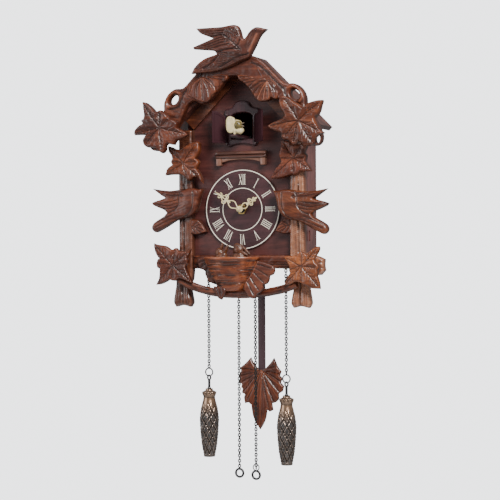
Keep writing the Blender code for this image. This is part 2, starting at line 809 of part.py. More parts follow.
def make_cuckoo():
    slide = Pivot("bird_slide", (0, -97, 88), CLOCK)
    plate("bird_carriage", rack_outline(-106, -46, 88.2), 9.4, (0, 0, 0), "dark_trim", "side", pivot=slide)
    bird = ball("cuckoo", (10.5, 6.5, 6), (0, -96, 95), "ivory", pivot=slide)
    pieces = [
        ball("cuckoo_head", (5.2, 5.2, 5.2), (3.2, -98.6, 99.2), pivot=slide, tool=True),
        rod("cuckoo_beak", 2.3, 5.6, (9.3, -99.4, 99.6), "X", pivot=slide, tool=True, sides=10, top=0.5),
        ball("cuckoo_wing_near", (5.8, 1.7, 9.2), (-6.2, -101.2, 100.3), pivot=slide, tool=True),
        ball("cuckoo_wing_far", (5.4, 1.7, 8.2), (-3.6, -90.8, 98.8), pivot=slide, tool=True),
        ball("cuckoo_tail", (3.4, 3.4, 2.4), (-9, -95, 95.5), pivot=slide, tool=True),
        rod("cuckoo_foot", 3, 3, (0, -95, 90), "Z", pivot=slide, tool=True),
    ]
    join(bird, *pieces)

    radius = RACK_MODULE * RACK_TEETH / 2
    place = (0, PINION_Y, RACK_Z - radius)
    spin = Pivot("pinion_axis", place, CLOCK)
    phase = RACK_TEETH / 4
    drive = solid(
        plate("drive_pinion", gear_outline(RACK_TEETH, RACK_MODULE, phase), 5, place, "brass", "side", pivot=spin)
    )
    join(drive, rod("pinion_arbor", 1.0, 17, place, "X", pivot=spin, tool=True))

    front = FACADE_BACK + 0.6
    length = 50
    housing = box("cuckoo_module", (44, length, 30), (0, front + length / 2, 59), "black_plastic")
    cut(housing, box("module_hollow", (40, length - 4, 30), (0, front + length / 2, 57), tool=True))
    for side, sign in (("left", -1), ("right", 1)):
        cheek = box(f"cheek_{side}", (2, 46, 15), (sign * 6.5, front + length / 2, 80.5), tool=True)
        join(housing, cheek)
    cut(housing, rod("arbor_bore", 1.3, 20, place, "X", tool=True))

    profile = [(0, 50), (8, 50), (16.5, 58.6), (19, 58.6), (19, 56), (10, 47), (10, 41), (0, 41)]
    turned("speaker", profile, (0, -30, -31), "black_plastic", "X", sides=28)


# ---- Pendulum, chains and weights -----------------------------------------------------------------------------

PENDULUM_LEAF = [
    (-2, -198),
    (-8, -193),
    (-13, -182),
    (-26, -196),
    (-28.5, -212.5),
    (-24, -224),
    (-19.5, -236.5),
    (-16, -240),
    (-11.5, -238),
    (-11, -247.5),
    (0, -271),
    (3, -268),
    (9.5, -250),
    (12.5, -245),
    (17, -247.5),
    (17.5, -238),
    (24, -235),
    (30.5, -219),
    (29.5, -211),
    (24, -202.5),
    (20.5, -193),
    (19, -184.5),
    (12.5, -189.5),
    (5.5, -195),
]


def make_pendulum():
    swing = Pivot("pendulum_pivot", (0, PENDULUM_Y, PENDULUM_PIVOT), CLOCK)
    bar = [(-4.7, -212), (4.7, -212), (4.7, PENDULUM_PIVOT)]
    bar += arc((0, PENDULUM_PIVOT), 4.7, 20, 160, 6) + [(-4.7, PENDULUM_PIVOT)]
    eye = circle((0, PENDULUM_PIVOT), 1.4, 12)
    plate("pendulum_rod", bar, 3, (0, PENDULUM_Y, 0), "dark_trim", holes=[eye], pivot=swing)
    plate("pendulum_leaf", PENDULUM_LEAF, 4, (0, PENDULUM_Y - 1.5 - GAP - 2, 0), "carved_wood", pivot=swing)

    drive = box("pendulum_drive", (32, 27, 26), (0, -40.2, 26), "black_plastic")
    pin = rod("drive_pin", 1.1, 14, (0, -21.5, PENDULUM_PIVOT), "Y", tool=True, sides=12)
    head = rod("drive_pin_head", 2.4, 1.2, (0, -15.2, PENDULUM_PIVOT), "Y", tool=True, sides=12)
    join(drive, pin, head)


WEIGHT_PROFILE = [
    (0, 0),
    (4.4, 0),
    (4.6, -2.2),
    (8.6, -4.2),
    (8.4, -6.5),
    (7.0, -10.3),
    (7.4, -13),
    (9.8, -22.5),
    (11.6, -35.5),
    (11.0, -50.5),
    (9.4, -67),
    (6.4, -83),
    (0, -83.4),
]
HOOK_LENGTH = 20.0


def chain_route(across, top, end):
    steps = int((top - end) / 8)
    return [(across, CHAIN_Y, top + (end - top) * step / steps) for step in range(steps + 1)]


def make_chains():
    for side, sign in (("left", -1), ("right", 1)):
        across = sign * OUTER_CHAIN_X
        middle = WEIGHT_RING_Z[side]
        hang = Pivot(f"weight_chain_swing_{side}", (across, CHAIN_Y, CHAIN_TOP), CLOCK)
        end = middle + RING_RADIUS + 0.7 + GAP
        tube(f"weight_chain_{side}", chain_route(across, CHAIN_TOP - GAP, end), CHAIN_RADIUS, "steel", hang)
        tilt = Pivot(f"weight_tilt_{side}", (across, CHAIN_Y, middle), hang)
        cap = middle - HOOK_LENGTH
        weight = turned(f"weight_{side}", WEIGHT_PROFILE, (across, CHAIN_Y, cap), "bronze", pivot=tilt)
        place = (across, CHAIN_Y, middle)
        loop = ring(f"weight_ring_{side}", RING_RADIUS, 0.7, place, "Y", pivot=tilt, tool=True, sides=20)
        hook_top = middle - RING_RADIUS
        place = (across, CHAIN_Y, (hook_top + cap - 1) / 2)
        hook = rod(f"weight_hook_{side}", 0.9, hook_top - cap + 1, place, "Z", pivot=tilt, tool=True, sides=10)
        join(weight, hook, loop)

        across = sign * INNER_CHAIN_X
        hang = Pivot(f"pull_chain_swing_{side}", (across, CHAIN_Y, CHAIN_TOP), CLOCK)
        end = PULL_CHAIN_END[side]
        tube(f"pull_chain_{side}", chain_route(across, CHAIN_TOP - GAP, end), CHAIN_RADIUS, "steel", hang)
        place = (across, CHAIN_Y, PULL_RING_Z[side])
        turn = Pivot(f"pull_ring_tilt_{side}", (across, CHAIN_Y, end), hang)
        ring(f"pull_ring_{side}", PULL_RING_RADIUS, 0.8, place, "Y", "steel", pivot=turn, sides=20)


def main():
    make_case()
    make_roof()
    make_roof_carving()
    make_front_carvings()
    make_branch()
    make_nest()
    make_doorway()
    minute = Pivot("minute_axis", (0, 0, 0), CLOCK)
    hour = Pivot("hour_axis", (0, 0, 0), CLOCK)
    make_dial()
    make_hands(minute, hour)
    make_motion_work(minute, hour)
    make_movement()
    make_cuckoo()
    make_pendulum()
    make_chains()


main()
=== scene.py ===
"""Looks of a carved, wall-hung cuckoo clock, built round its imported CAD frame.

Lengths are in millimetres until a mesh or an object is made, and heights are counted from the centre of the dial. The
wall is the plane y = 0 and the viewer is on the -Y side. Carvings are reliefs: a flat outline, cut from a board, whose
face rises and falls with grooves, veins and feathers.
"""

import math
import random

import bmesh
import bpy
import numpy as np
from mathutils import Matrix, Vector, noise
from mathutils.geometry import delaunay_2d_cdt


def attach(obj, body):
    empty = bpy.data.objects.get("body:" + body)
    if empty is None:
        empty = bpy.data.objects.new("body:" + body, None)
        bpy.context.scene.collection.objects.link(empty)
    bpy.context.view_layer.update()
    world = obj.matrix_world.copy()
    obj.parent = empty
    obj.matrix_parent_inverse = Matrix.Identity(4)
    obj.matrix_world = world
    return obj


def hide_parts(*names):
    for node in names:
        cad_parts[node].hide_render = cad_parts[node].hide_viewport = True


MM = 0.001
DIAL_Z = -115.0
FACADE_FRONT = -78.3
HINGE_Y = -83.6

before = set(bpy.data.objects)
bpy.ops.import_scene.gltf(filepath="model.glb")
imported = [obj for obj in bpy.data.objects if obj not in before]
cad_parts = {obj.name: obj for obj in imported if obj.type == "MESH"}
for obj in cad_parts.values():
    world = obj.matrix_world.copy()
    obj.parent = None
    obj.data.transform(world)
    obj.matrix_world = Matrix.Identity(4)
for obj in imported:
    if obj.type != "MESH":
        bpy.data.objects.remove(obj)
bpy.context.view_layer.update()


def place(x, y, z):
    """A point in the clock's millimetres, as metres in the row frame."""
    return Vector((x * MM, y * MM, (z + DIAL_Z) * MM))


def add_object(name, data):
    made = bpy.data.objects.new(name, data)
    bpy.context.scene.collection.objects.link(made)
    return made


# ---- Camera ---------------------------------------------------------------------------------------------------


def make_camera():
    turn = math.radians(22.4)
    right = Vector((math.cos(turn), math.sin(turn), 0))
    forward = Vector((-math.sin(turn), math.cos(turn), 0))
    target = place(0, -80, 0) + right * 0.0089 + Vector((0, 0, -0.0488))
    data = bpy.data.cameras.new("camera")
    data.lens = 108
    data.sensor_width = 36
    data.clip_end = 20
    camera = add_object("camera", data)
    camera.location = target - forward * 1.8
    camera.rotation_mode = "QUATERNION"
    level = forward.to_track_quat("-Z", "Y")
    camera.rotation_quaternion = level @ Matrix.Rotation(math.radians(-0.3), 3, "Z").to_quaternion()
    bpy.context.scene.camera = camera


# ---- Materials ------------------------------------------------------------------------------------------------


class Surface:
    """A Principled material and short ways to add nodes in front of it."""

    def __init__(self, name, roughness=0.5, **constants):
        self.material = bpy.data.materials.new(name)
        self.material.use_nodes = True
        self.tree = self.material.node_tree
        self.shader = self.tree.nodes["Principled BSDF"]
        self.set("Roughness", roughness)
        for key, value in constants.items():
            self.set(key.replace("_", " "), value)
        self.coordinates = self.add("ShaderNodeTexCoord").outputs["Object"]

    def set(self, socket, value):
        self.shader.inputs[socket].default_value = value

    def add(self, kind, inputs=(), **properties):
        node = self.tree.nodes.new(kind)
        for key, value in properties.items():
            setattr(node, key, value)
        for key, value in dict(inputs).items():
            if isinstance(value, bpy.types.NodeSocket):
                self.tree.links.new(value, node.inputs[key])
            else:
                node.inputs[key].default_value = value
        return node

    def noise(self, vector, scale, detail=4.0, rough=0.55, warp=0.0):
        inputs = {"Vector": vector, "Scale": scale, "Detail": detail, "Roughness": rough, "Distortion": warp}
        return self.add("ShaderNodeTexNoise", inputs).outputs["Fac"]

    def ramp(self, factor, stops):
        node = self.add("ShaderNodeValToRGB", {"Fac": factor})
        elements = node.color_ramp.elements
        while len(elements) < len(stops):
            elements.new(0.5)
        for element, (position, colour) in zip(elements, stops):
            element.position = position
            element.color = (*colour, 1)
        return node.outputs["Color"]

    def mix(self, factor, first, second, how="MIX"):
        node = self.add("ShaderNodeMix", data_type="RGBA", blend_type=how)
        for index, value in ((0, factor), (6, first), (7, second)):
            if isinstance(value, bpy.types.NodeSocket):
                self.tree.links.new(value, node.inputs[index])
            else:
                node.inputs[index].default_value = (*value, 1) if index else value
        return node.outputs[2]

    def attribute(self, name):
        return self.add("ShaderNodeAttribute", attribute_name=name).outputs["Fac"]

    def colour(self, socket):
        self.tree.links.new(socket, self.shader.inputs["Base Color"])

    def spread_roughness(self, factor, low, high):
        node = self.add("ShaderNodeMapRange", {"Value": factor, "To Min": low, "To Max": high})
        self.tree.links.new(node.outputs["Result"], self.shader.inputs["Roughness"])

    def bump(self, layers):
        """layers is a list of (height socket, strength, distance in millimetres), finest last."""
        normal = None
        for height, strength, distance in layers:
            inputs = {"Height": height, "Strength": strength, "Distance": distance * MM}
            if normal:
                inputs["Normal"] = normal
            normal = self.add("ShaderNodeBump", inputs).outputs["Normal"]
        self.tree.links.new(normal, self.shader.inputs["Normal"])


def stained_wood(name, deep, middle, light, along="Z", gloss=0.35, coat=0.4, knife=0.0, specular=0.42):
    """Lacquered wood: grain along one axis, blotchy stain, painted shade in the cuts and painted highlights, partly
    rubbed wood, on the ridges of the relief.
    """
    wood = Surface(name, Coat_Weight=coat, Coat_Roughness=0.26, Specular_IOR_Level=specular)
    stretch = {"X": (9, 130, 130), "Y": (130, 9, 130), "Z": (130, 130, 9)}[along]
    vector = wood.add("ShaderNodeMapping", {"Vector": wood.coordinates, "Scale": stretch}).outputs["Vector"]
    grain = wood.noise(vector, 1.0, 7, 0.62, 0.9)
    pores = wood.noise(vector, 7.0, 3, 0.7)
    stain = wood.noise(wood.coordinates, 42.0, 3, 0.5, 0.4)
    colour = wood.ramp(grain, [(0.30, deep), (0.50, middle), (0.70, light)])
    blotch = wood.ramp(stain, [(0.34, (0.66, 0.60, 0.58)), (0.62, (1.15, 1.12, 1.1))])
    colour = wood.mix(1.0, colour, blotch, "MULTIPLY")
    dots = wood.ramp(pores, [(0.36, (0.55, 0.48, 0.46)), (0.46, (1, 1, 1))])
    colour = wood.mix(0.55, colour, dots, "MULTIPLY")
    # Painted shade darkens the cuts; painted highlight, partly rubbed wood, pales the ridges.
    cuts = wood.attribute("painted_shade")
    colour = wood.mix(cuts, colour, tuple(0.2 * value for value in deep))
    colour = wood.mix(wood.attribute("highlight_and_rubbing"), colour, tuple(min(1, 1.35 * value + 0.004) for value in light))
    wood.colour(colour)
    wood.spread_roughness(grain, gloss * 0.8, gloss * 1.35)
    layers = [(stain, 0.2, 0.5), (grain, 0.4, 0.08 + 0.5 * knife), (pores, 0.3, 0.04)]
    if knife:
        facets = wood.add("ShaderNodeTexVoronoi", {"Vector": wood.coordinates, "Scale": 260.0})
        layers.insert(0, (facets.outputs["Distance"], 0.3, knife))
    wood.bump(layers)
    return wood.material


def plain_coat(name, base, second, scale, roughness, metallic=0.0, bump=0.03, coat=0.0, marks=0.4, specular=0.5):
    """A moulded, painted or plated surface: two close tones, fine grain and a varying sheen."""
    coat_of = Surface(name, Metallic=metallic, Coat_Weight=coat, Coat_Roughness=0.1, Specular_IOR_Level=specular)
    cloud = coat_of.noise(coat_of.coordinates, scale, 5, 0.6)
    fine = coat_of.noise(coat_of.coordinates, scale * 9, 2, 0.6)
    colour = coat_of.ramp(cloud, [(0.35, base), (0.65, second)])
    # Painted shade: the hollows the shape marks drop to marks times the base tone.
    colour = coat_of.mix(coat_of.attribute("painted_shade"), colour, tuple(marks * value for value in base))
    coat_of.colour(colour)
    coat_of.spread_roughness(fine, roughness * 0.75, roughness * 1.3)
    coat_of.bump([(cloud, 0.3, bump * 3), (fine, 0.4, bump)])
    return coat_of.material


def aged_bronze(name):
    """Brown bronze paint: warm copper on the paler shoulder and in painted highlights along the cut edges, near black
    in painted shade in the cuts.
    """
    bronze = Surface(name, Metallic=0.8, Coat_Weight=0.3, Coat_Roughness=0.14)
    cloud = bronze.noise(bronze.coordinates, 90.0, 5, 0.6)
    colour = bronze.ramp(cloud, [(0.3, (0.060, 0.055, 0.054)), (0.7, (0.165, 0.148, 0.140))])
    # The painted highlight and the paler shoulder go to copper, and the painted shade in the cuts goes to near black.
    colour = bronze.mix(bronze.attribute("highlight_and_rubbing"), colour, (0.40, 0.235, 0.135))
    colour = bronze.mix(bronze.attribute("painted_shade"), colour, (0.004, 0.0035, 0.0035))
    bronze.colour(colour)
    bronze.spread_roughness(cloud, 0.16, 0.3)
    bronze.bump([(cloud, 0.4, 0.15)])
    return bronze.material


# Each stained wood is its deep, middle and light tone, its grain direction, gloss, lacquer and knife marks.
# The right-hand pieces use lighter, warmer copies of the left-hand woods: painted light from the right.
WOODS = {
    "carved": ((0.033, 0.0075, 0.0038), (0.088, 0.02, 0.0085), (0.172, 0.046, 0.018), "X", 0.38, 0.28, 0.12),
    "carved_up": ((0.033, 0.0075, 0.0038), (0.088, 0.02, 0.0085), (0.172, 0.046, 0.018), "Z", 0.38, 0.28, 0.12),
    "carved_lit": (
        (0.0376, 0.0089, 0.0038), (0.1053, 0.0249, 0.0085), (0.2021, 0.0573, 0.0179), "X", 0.38, 0.3, 0.12
    ),
    "leaf_amber": (
        (0.0458, 0.0114, 0.0049), (0.1374, 0.0343, 0.0126), (0.269, 0.0779, 0.0274), "X", 0.38, 0.28, 0.12
    ),
    "leaf_right": ((0.0529, 0.0125, 0.0069), (0.1418, 0.034, 0.016), (0.2643, 0.0738, 0.0306), "X", 0.4, 0.28, 0.12),
    "leaf_lit": (
        (0.0594, 0.0154, 0.0053), (0.1855, 0.0498, 0.0148), (0.3498, 0.1081, 0.0307), "X", 0.36, 0.45, 0.12
    ),
    "slope_right": (
        (0.0451, 0.0113, 0.0054), (0.1283, 0.0321, 0.0137), (0.2495, 0.0737, 0.0285), "X", 0.38, 0.28, 0.12
    ),
    "nestling": ((0.034, 0.01, 0.0045), (0.09, 0.027, 0.01), (0.18, 0.062, 0.022), "Z", 0.42, 0.35, 0.12),
    "nest": ((0.064, 0.0146, 0.0063), (0.181, 0.0431, 0.0153), (0.3478, 0.1015, 0.0334), "X", 0.38, 0.3, 0.12),
    "top_bird": ((0.0324, 0.0092, 0.0056), (0.0821, 0.0221, 0.0124), (0.1728, 0.054, 0.0281), "X", 0.36, 0.28, 0.12),
    "post": ((0.0401, 0.0104, 0.0054), (0.1129, 0.0334, 0.0159), (0.2257, 0.0836, 0.0435), "Z", 0.34, 0.65, 0.16),
    "post_lit": ((0.1047, 0.0332, 0.0161), (0.308, 0.1133, 0.0566), (0.5421, 0.2464, 0.1355), "Z", 0.34, 0.65, 0.16),
    "facade": ((0.0496, 0.0138, 0.013), (0.0772, 0.022, 0.0193), (0.1185, 0.0331, 0.0262), "X", 0.44, 0.2, 0.0),
    "side": ((0.093, 0.0319, 0.0292), (0.1462, 0.0531, 0.0478), (0.2125, 0.0797, 0.0691), "Z", 0.42, 0.25, 0.0),
    "roof": ((0.04, 0.013, 0.01), (0.08, 0.025, 0.018), (0.135, 0.046, 0.032), "Y", 0.42, 0.2, 0.0),
    "batten": ((0.0408, 0.0108, 0.006), (0.1104, 0.03, 0.0132), (0.24, 0.0792, 0.0324), "X", 0.38, 0.4, 0.0),
    "dark": ((0.024, 0.0097, 0.0128), (0.045, 0.0173, 0.0218), (0.072, 0.027, 0.033), "Z", 0.36, 0.4, 0.0),
    "door": ((0.0094, 0.0023, 0.0036), (0.018, 0.0045, 0.0067), (0.03, 0.0075, 0.0112), "Z", 0.55, 0, 0.0),
    "ledge": ((0.0346, 0.0115, 0.0077), (0.0806, 0.0288, 0.0182), (0.1632, 0.0672, 0.0451), "X", 0.3, 0.7, 0.0),
    "bracket": ((0.0393, 0.0144, 0.009), (0.0869, 0.0348, 0.0219), (0.1588, 0.0726, 0.0477), "Z", 0.34, 0.5, 0.0),
    "dial": ((0.032, 0.0095, 0.0115), (0.046, 0.0135, 0.0165), (0.062, 0.019, 0.023), "X", 0.42, 0.25, 0.0),
    "leaf": ((0.0583, 0.0127, 0.0049), (0.1251, 0.0281, 0.0095), (0.2067, 0.0551, 0.0186), "Z", 0.36, 0.45, 0.0),
    "rod": ((0.022, 0.01, 0.0125), (0.036, 0.017, 0.0215), (0.056, 0.028, 0.034), "Z", 0.36, 0.4, 0.0),
}


def make_materials():
    looks = {}
    for name, (deep, middle, light, along, gloss, coat, knife) in WOODS.items():
        specular = 0.08 if name == "door" else 0.42
        looks[name] = stained_wood(f"{name}_wood", deep, middle, light, along, gloss, coat, knife, specular)
    for name, base, second, scale, roughness, extra in (
        ("ivory", (0.62, 0.49, 0.23), (0.80, 0.69, 0.40), 160.0, 0.34, {"bump": 0.02, "coat": 0.3}),
        ("print", (0.94, 0.87, 0.70), (0.98, 0.94, 0.82), 300.0, 0.45, {"bump": 0.01}),
        ("olive", (0.095, 0.070, 0.014), (0.155, 0.116, 0.030), 260.0, 0.42, {"bump": 0.02, "coat": 0.3}),
        ("beak", (0.115, 0.080, 0.050), (0.19, 0.145, 0.095), 260.0, 0.42, {"bump": 0.01, "coat": 0.3}),
        ("brass", (0.50, 0.33, 0.11), (0.70, 0.50, 0.20), 120.0, 0.3, {"metallic": 1.0, "bump": 0.01}),
        ("steel", (0.006, 0.0056, 0.0054), (0.018, 0.017, 0.016), 200.0, 0.4, {"bump": 0.01, "specular": 0.3}),
        ("nickel", (0.05, 0.048, 0.046), (0.14, 0.136, 0.13), 200.0, 0.24, {"metallic": 1.0, "bump": 0.005}),
        ("black_wire", (0.006, 0.006, 0.006), (0.016, 0.015, 0.015), 200.0, 0.3, {"bump": 0.01, "coat": 0.4}),
        ("plastic", (0.014, 0.014, 0.015), (0.024, 0.024, 0.026), 400.0, 0.5, {"bump": 0.04}),
        ("cell", (0.03, 0.10, 0.06), (0.06, 0.17, 0.10), 80.0, 0.32, {"metallic": 0.4, "bump": 0.01, "coat": 0.3}),
    ):
        looks[name] = plain_coat(name, base, second, scale, roughness, **extra)
    looks["bronze"] = aged_bronze("aged_bronze")
    return looks


# ---- Outlines -------------------------------------------------------------------------------------------------


def number(text):
    return float(text) if "." in text else int(text)


def trace(text):
    """Pairs of numbers, each written x,z."""
    return [tuple(map(number, pair.split(","))) for pair in text.split()]


def traces(text):
    """Several such lines, parted by bars."""
    return [trace(line) for line in text.split("|")]


def curves(lines, step=1.5):
    return [smooth(line, step, closed=False) for line in lines]


def mirrored(points):
    return [(-x, z) for x, z in reversed(points)]


def polar(centre, angle, reach):
    turn = math.radians(angle)
    return (centre[0] + reach * math.cos(turn), centre[1] + reach * math.sin(turn))


def ellipse(centre, wide, high, tilt=0.0, steps=40):
    turn = math.radians(tilt)
    points = []
    for step in range(steps):
        angle = 2 * math.pi * step / steps
        x, z = wide * math.cos(angle), high * math.sin(angle)
        points.append(
            (centre[0] + x * math.cos(turn) - z * math.sin(turn), centre[1] + x * math.sin(turn) + z * math.cos(turn))
        )
    return points


def smooth(points, step=1.0, corner=62.0, closed=True):
    """A curve through the points, a step apart. It stays sharp where it turns by more than corner degrees."""
    nodes = [np.array(point, float) for point in points]
    count = len(nodes)

    def tangent(index, forward):
        before, after = nodes[(index - 1) % count], nodes[(index + 1) % count]
        into, out = nodes[index] - before, after - nodes[index]
        if not closed and index in (0, count - 1):
            return nodes[1] - nodes[0] if index == 0 else nodes[-1] - nodes[-2]
        turn = abs(math.degrees(math.atan2(into[0] * out[1] - into[1] * out[0], float(into @ out))))
        if turn > corner:
            return out if forward else into
        shorter = min(np.linalg.norm(into), np.linalg.norm(out))
        middle = into / np.linalg.norm(into) + out / np.linalg.norm(out)
        return middle * shorter / 1.7

    line = []
    for index in range(count if closed else count - 1):
        start, end = nodes[index], nodes[(index + 1) % count]
        leave, arrive = tangent(index, True), tangent((index + 1) % count, False)
        length = np.linalg.norm(end - start)
        leave = leave * min(1.0, length / max(np.linalg.norm(leave), 1e-6))
        arrive = arrive * min(1.0, length / max(np.linalg.norm(arrive), 1e-6))
        parts = max(1, round(length / step))
        for part in range(parts):
            t = part / parts
            line.append(
                tuple(
                    (2 * t**3 - 3 * t**2 + 1) * start
                    + (t**3 - 2 * t**2 + t) * leave
                    + (3 * t**2 - 2 * t**3) * end
                    + (t**3 - t**2) * arrive
                )
            )
    if not closed:
        line.append(tuple(nodes[-1]))
    return line


def wandering(start, end, sway, seed, steps=12):
    """A line from start to end that wanders sideways by up to sway."""
    source = random.Random(seed)
    first, last = source.uniform(0, 6), source.uniform(1.5, 3.5)
    dx, dz = end[0] - start[0], end[1] - start[1]
    length = math.hypot(dx, dz)
    points = []
    for step in range(steps + 1):
        t = step / steps
        side = sway * math.sin(first + last * 2 * t) * math.sin(math.pi * min(1, t * 1.2 + 0.1))
        points.append((start[0] + dx * t - dz / length * side, start[1] + dz * t + dx / length * side))
    return points


# ---- Reliefs --------------------------------------------------------------------------------------------------


def segments(lines, closed=False):
    starts, ends = [], []
    for line in lines:
        line = list(line) + ([line[0]] if closed else [])
        starts += line[:-1]
        ends += line[1:]
    return np.array(starts, float), np.array(ends, float)


def distance(points, lines, closed=False):
    """How far each point is from the nearest of the lines."""
    starts, ends = segments(lines, closed)
    along = ends - starts
    lengths = np.maximum((along**2).sum(1), 1e-9)
    nearest = np.empty(len(points))
    for first in range(0, len(points), 3000):
        block = points[first : first + 3000]
        away = block[:, None, :] - starts[None]
        t = np.clip((away * along).sum(2) / lengths, 0, 1)
        gap = away - t[..., None] * along
        nearest[first : first + 3000] = np.sqrt((gap**2).sum(2).min(1))
    return nearest


def inside(points, rings):
    """Even-odd test of each point against the rings."""
    starts, ends = segments(rings, closed=True)
    found = np.zeros(len(points), bool)
    for (x0, z0), (x1, z1) in zip(starts, ends):
        if z0 == z1:
            continue
        crosses = (points[:, 1] > z0) != (points[:, 1] > z1)
        where = x0 + (points[:, 1] - z0) * (x1 - x0) / (z1 - z0)
        found ^= crosses & (points[:, 0] < where)
    return found


def flat_mesh(outline, holes, step):
    """Points and triangles that fill the outline, with even points inside it."""
    rings = [outline, *holes]
    corners = np.array([point for ring in rings for point in ring], float)
    edges, first = [], 0
    for ring in rings:
        edges += [(first + index, first + (index + 1) % len(ring)) for index in range(len(ring))]
        first += len(ring)
    low, high = corners.min(0), corners.max(0)
    rows = np.arange(low[1], high[1], step * 0.87)
    grid = [
        (x + (step / 2 if row % 2 else 0), z)
        for row, z in enumerate(rows)
        for x in np.arange(low[0], high[0], step)
    ]
    grid = np.array(grid, float)
    grid = grid[inside(grid, rings)]
    if len(grid):
        grid = grid[distance(grid, rings, closed=True) > 0.55 * step]
    every = [Vector(point) for point in corners] + [Vector(point) for point in grid]
    points, _, faces, *_ = delaunay_2d_cdt(every, edges, [], 0, 1e-6)
    points = np.array([tuple(point) for point in points])
    centres = np.array([points[list(face)].mean(0) for face in faces])
    kept = inside(centres, rings)
    return points, [face for face, keep in zip(faces, kept) if keep], rings


def relief(
    name, outline, back, front, shape, material, holes=(), step=1.0, replaces=None, body="case"
):
    """A carved piece. shape(points, edge) gives each point's height above front, its painted shade and its painted
    highlight.
    """
    points, faces, rings = flat_mesh(outline, holes, step)
    edge = distance(points, rings, closed=True)
    height, painted_shade, highlight_and_rubbing = shape(points, edge)
    carved = bmesh.new()
    cuts, tops = marks(carved)
    verts = []
    for (x, z), rise, cut, top in zip(points, height, painted_shade, highlight_and_rubbing):
        vert = carved.verts.new(place(x, front - rise, z))
        vert[cuts] = float(np.clip(cut, 0, 1))
        vert[tops] = float(np.clip(top, 0, 1))
        verts.append(vert)
    for face in faces:
        carved.faces.new([verts[index] for index in face])
    for vert in [vert for vert in carved.verts if not vert.link_faces]:
        carved.verts.remove(vert)
    rim = [item for item in carved.edges if len(item.link_faces) == 1]
    grown = bmesh.ops.extrude_edge_only(carved, edges=rim)["geom"]
    for vert in (item for item in grown if isinstance(item, bmesh.types.BMVert)):
        vert.co.y = back * MM
        # The cut sides get painted shade.
        vert[cuts] = 0.35
        vert[tops] = 0.0
    behind = [item for item in carved.edges if len(item.link_faces) == 1]
    bmesh.ops.triangle_fill(carved, use_beauty=True, use_dissolve=False, edges=behind)
    outward(carved)
    return finish_piece(name, carved, material, body, replaces)


def finish_piece(name, shape, material, body, replaces=None, sharp=50):
    """Turns the bmesh into a piece that rides on its body and, where asked, stands for CAD nodes."""
    mesh = bpy.data.meshes.new(name)
    shape.to_mesh(mesh)
    shape.free()
    mesh.materials.append(material)
    mesh.shade_smooth()
    mesh.set_sharp_from_angle(angle=math.radians(sharp))
    piece = add_object(name, mesh)
    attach(piece, body)
    if replaces:
        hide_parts(*([replaces] if isinstance(replaces, str) else replaces))
    return piece


def unevenness(points, across, up, seed):
    return np.array([noise.noise(Vector((x * across, z * up, seed))) for x, z in points])


def rounded(edge, reach):
    """0 at the edge, rising as a quarter circle to 1 at reach."""
    near = np.clip(edge / reach, 0, 1)
    return np.sqrt(1 - (1 - near) ** 2)


def grooved(points, groups):
    """(depth, painted shade) of cuts. groups is a list of (lines, half width, depth)."""
    depth = np.zeros(len(points))
    dark = np.zeros(len(points))
    for lines, wide, deep in groups:
        if not lines:
            continue
        share = np.exp(-((distance(points, lines) / wide) ** 2))
        depth = np.maximum(depth, deep * share)
        dark = np.maximum(dark, share * min(1.0, 0.45 + deep * 0.45))
    return depth, dark


def carve(rise, reach, groups, swells=(), mottle=0.25, seed=0.0, highlight_and_rubbing_share=0.55, ridges=()):
    """The usual face: a rounded edge, broad swells, cuts, ridges, and the unevenness left by the knife."""

    def shape(points, edge):
        height = rise * rounded(edge, reach)
        for (x, z), wide, high in swells:
            gap = ((points[:, 0] - x) ** 2 + (points[:, 1] - z) ** 2) / wide**2
            height = height + high * np.exp(-gap) * np.clip(edge / 2.0, 0, 1)
        depth, dark = grooved(points, groups)
        depth = depth * np.clip(0.35 + edge / 1.5, 0, 1)
        rough = unevenness(points, 0.22, 0.22, seed)
        height = height - depth + mottle * rough * np.clip(edge / 1.5, 0, 1)
        # Painted shade in the cuts and along the outline; painted highlights, partly rubbed wood, beside the cuts,
        # just inside the edge and on the ridges.
        shade = np.maximum(dark * 0.85, 0.45 * np.clip(1 - edge / 0.5, 0, 1))
        beside = np.clip(dark * 2.2, 0, 1) * np.clip(1 - dark * 1.6, 0, 1)
        highlight_and_rubbing = highlight_and_rubbing_share * np.maximum(beside * 0.8, np.clip(1 - abs(edge - 1.3) / 0.9, 0, 1) * 0.7) * (0.5 + rough)
        for lines, wide, high in ridges:
            share = np.exp(-((distance(points, lines) / wide) ** 2)) * np.clip(0.3 + edge, 0, 1)
            height, highlight_and_rubbing, shade = height + high * share, np.maximum(highlight_and_rubbing, 0.9 * share), shade * (1 - share)
        return height, shade, highlight_and_rubbing

    return shape


# ---- Leaves ---------------------------------------------------------------------------------------------------


def leaf_veins(centre, tips, seed):
    """Main veins to the tips, side veins that leave them, and creases between the lobes."""
    main, minor, creases = [], [], []
    for index, tip in enumerate(tips):
        length = math.dist(centre, tip)
        angle = math.degrees(math.atan2(tip[1] - centre[1], tip[0] - centre[0]))
        after = tips[(index + 1) % len(tips)]
        main.append(wandering(polar(centre, angle, 1.0), polar(centre, angle, 0.93 * length), 0.5, seed + index))
        for reach in (0.30, 0.48, 0.64, 0.78):
            start = polar(centre, angle, reach * length)
            for side in (-1, 1):
                long = length * (0.34 - 0.24 * reach)
                minor.append(wandering(start, polar(start, angle + side * 38, long), 0.3, seed + index + reach, 5))
        fold = ((tip[0] + after[0]) / 2 - centre[0], (tip[1] + after[1]) / 2 - centre[1])
        creases.append([(centre[0] + share * fold[0], centre[1] + share * fold[1]) for share in (0.2, 0.5, 0.85)])
    return main, minor, creases


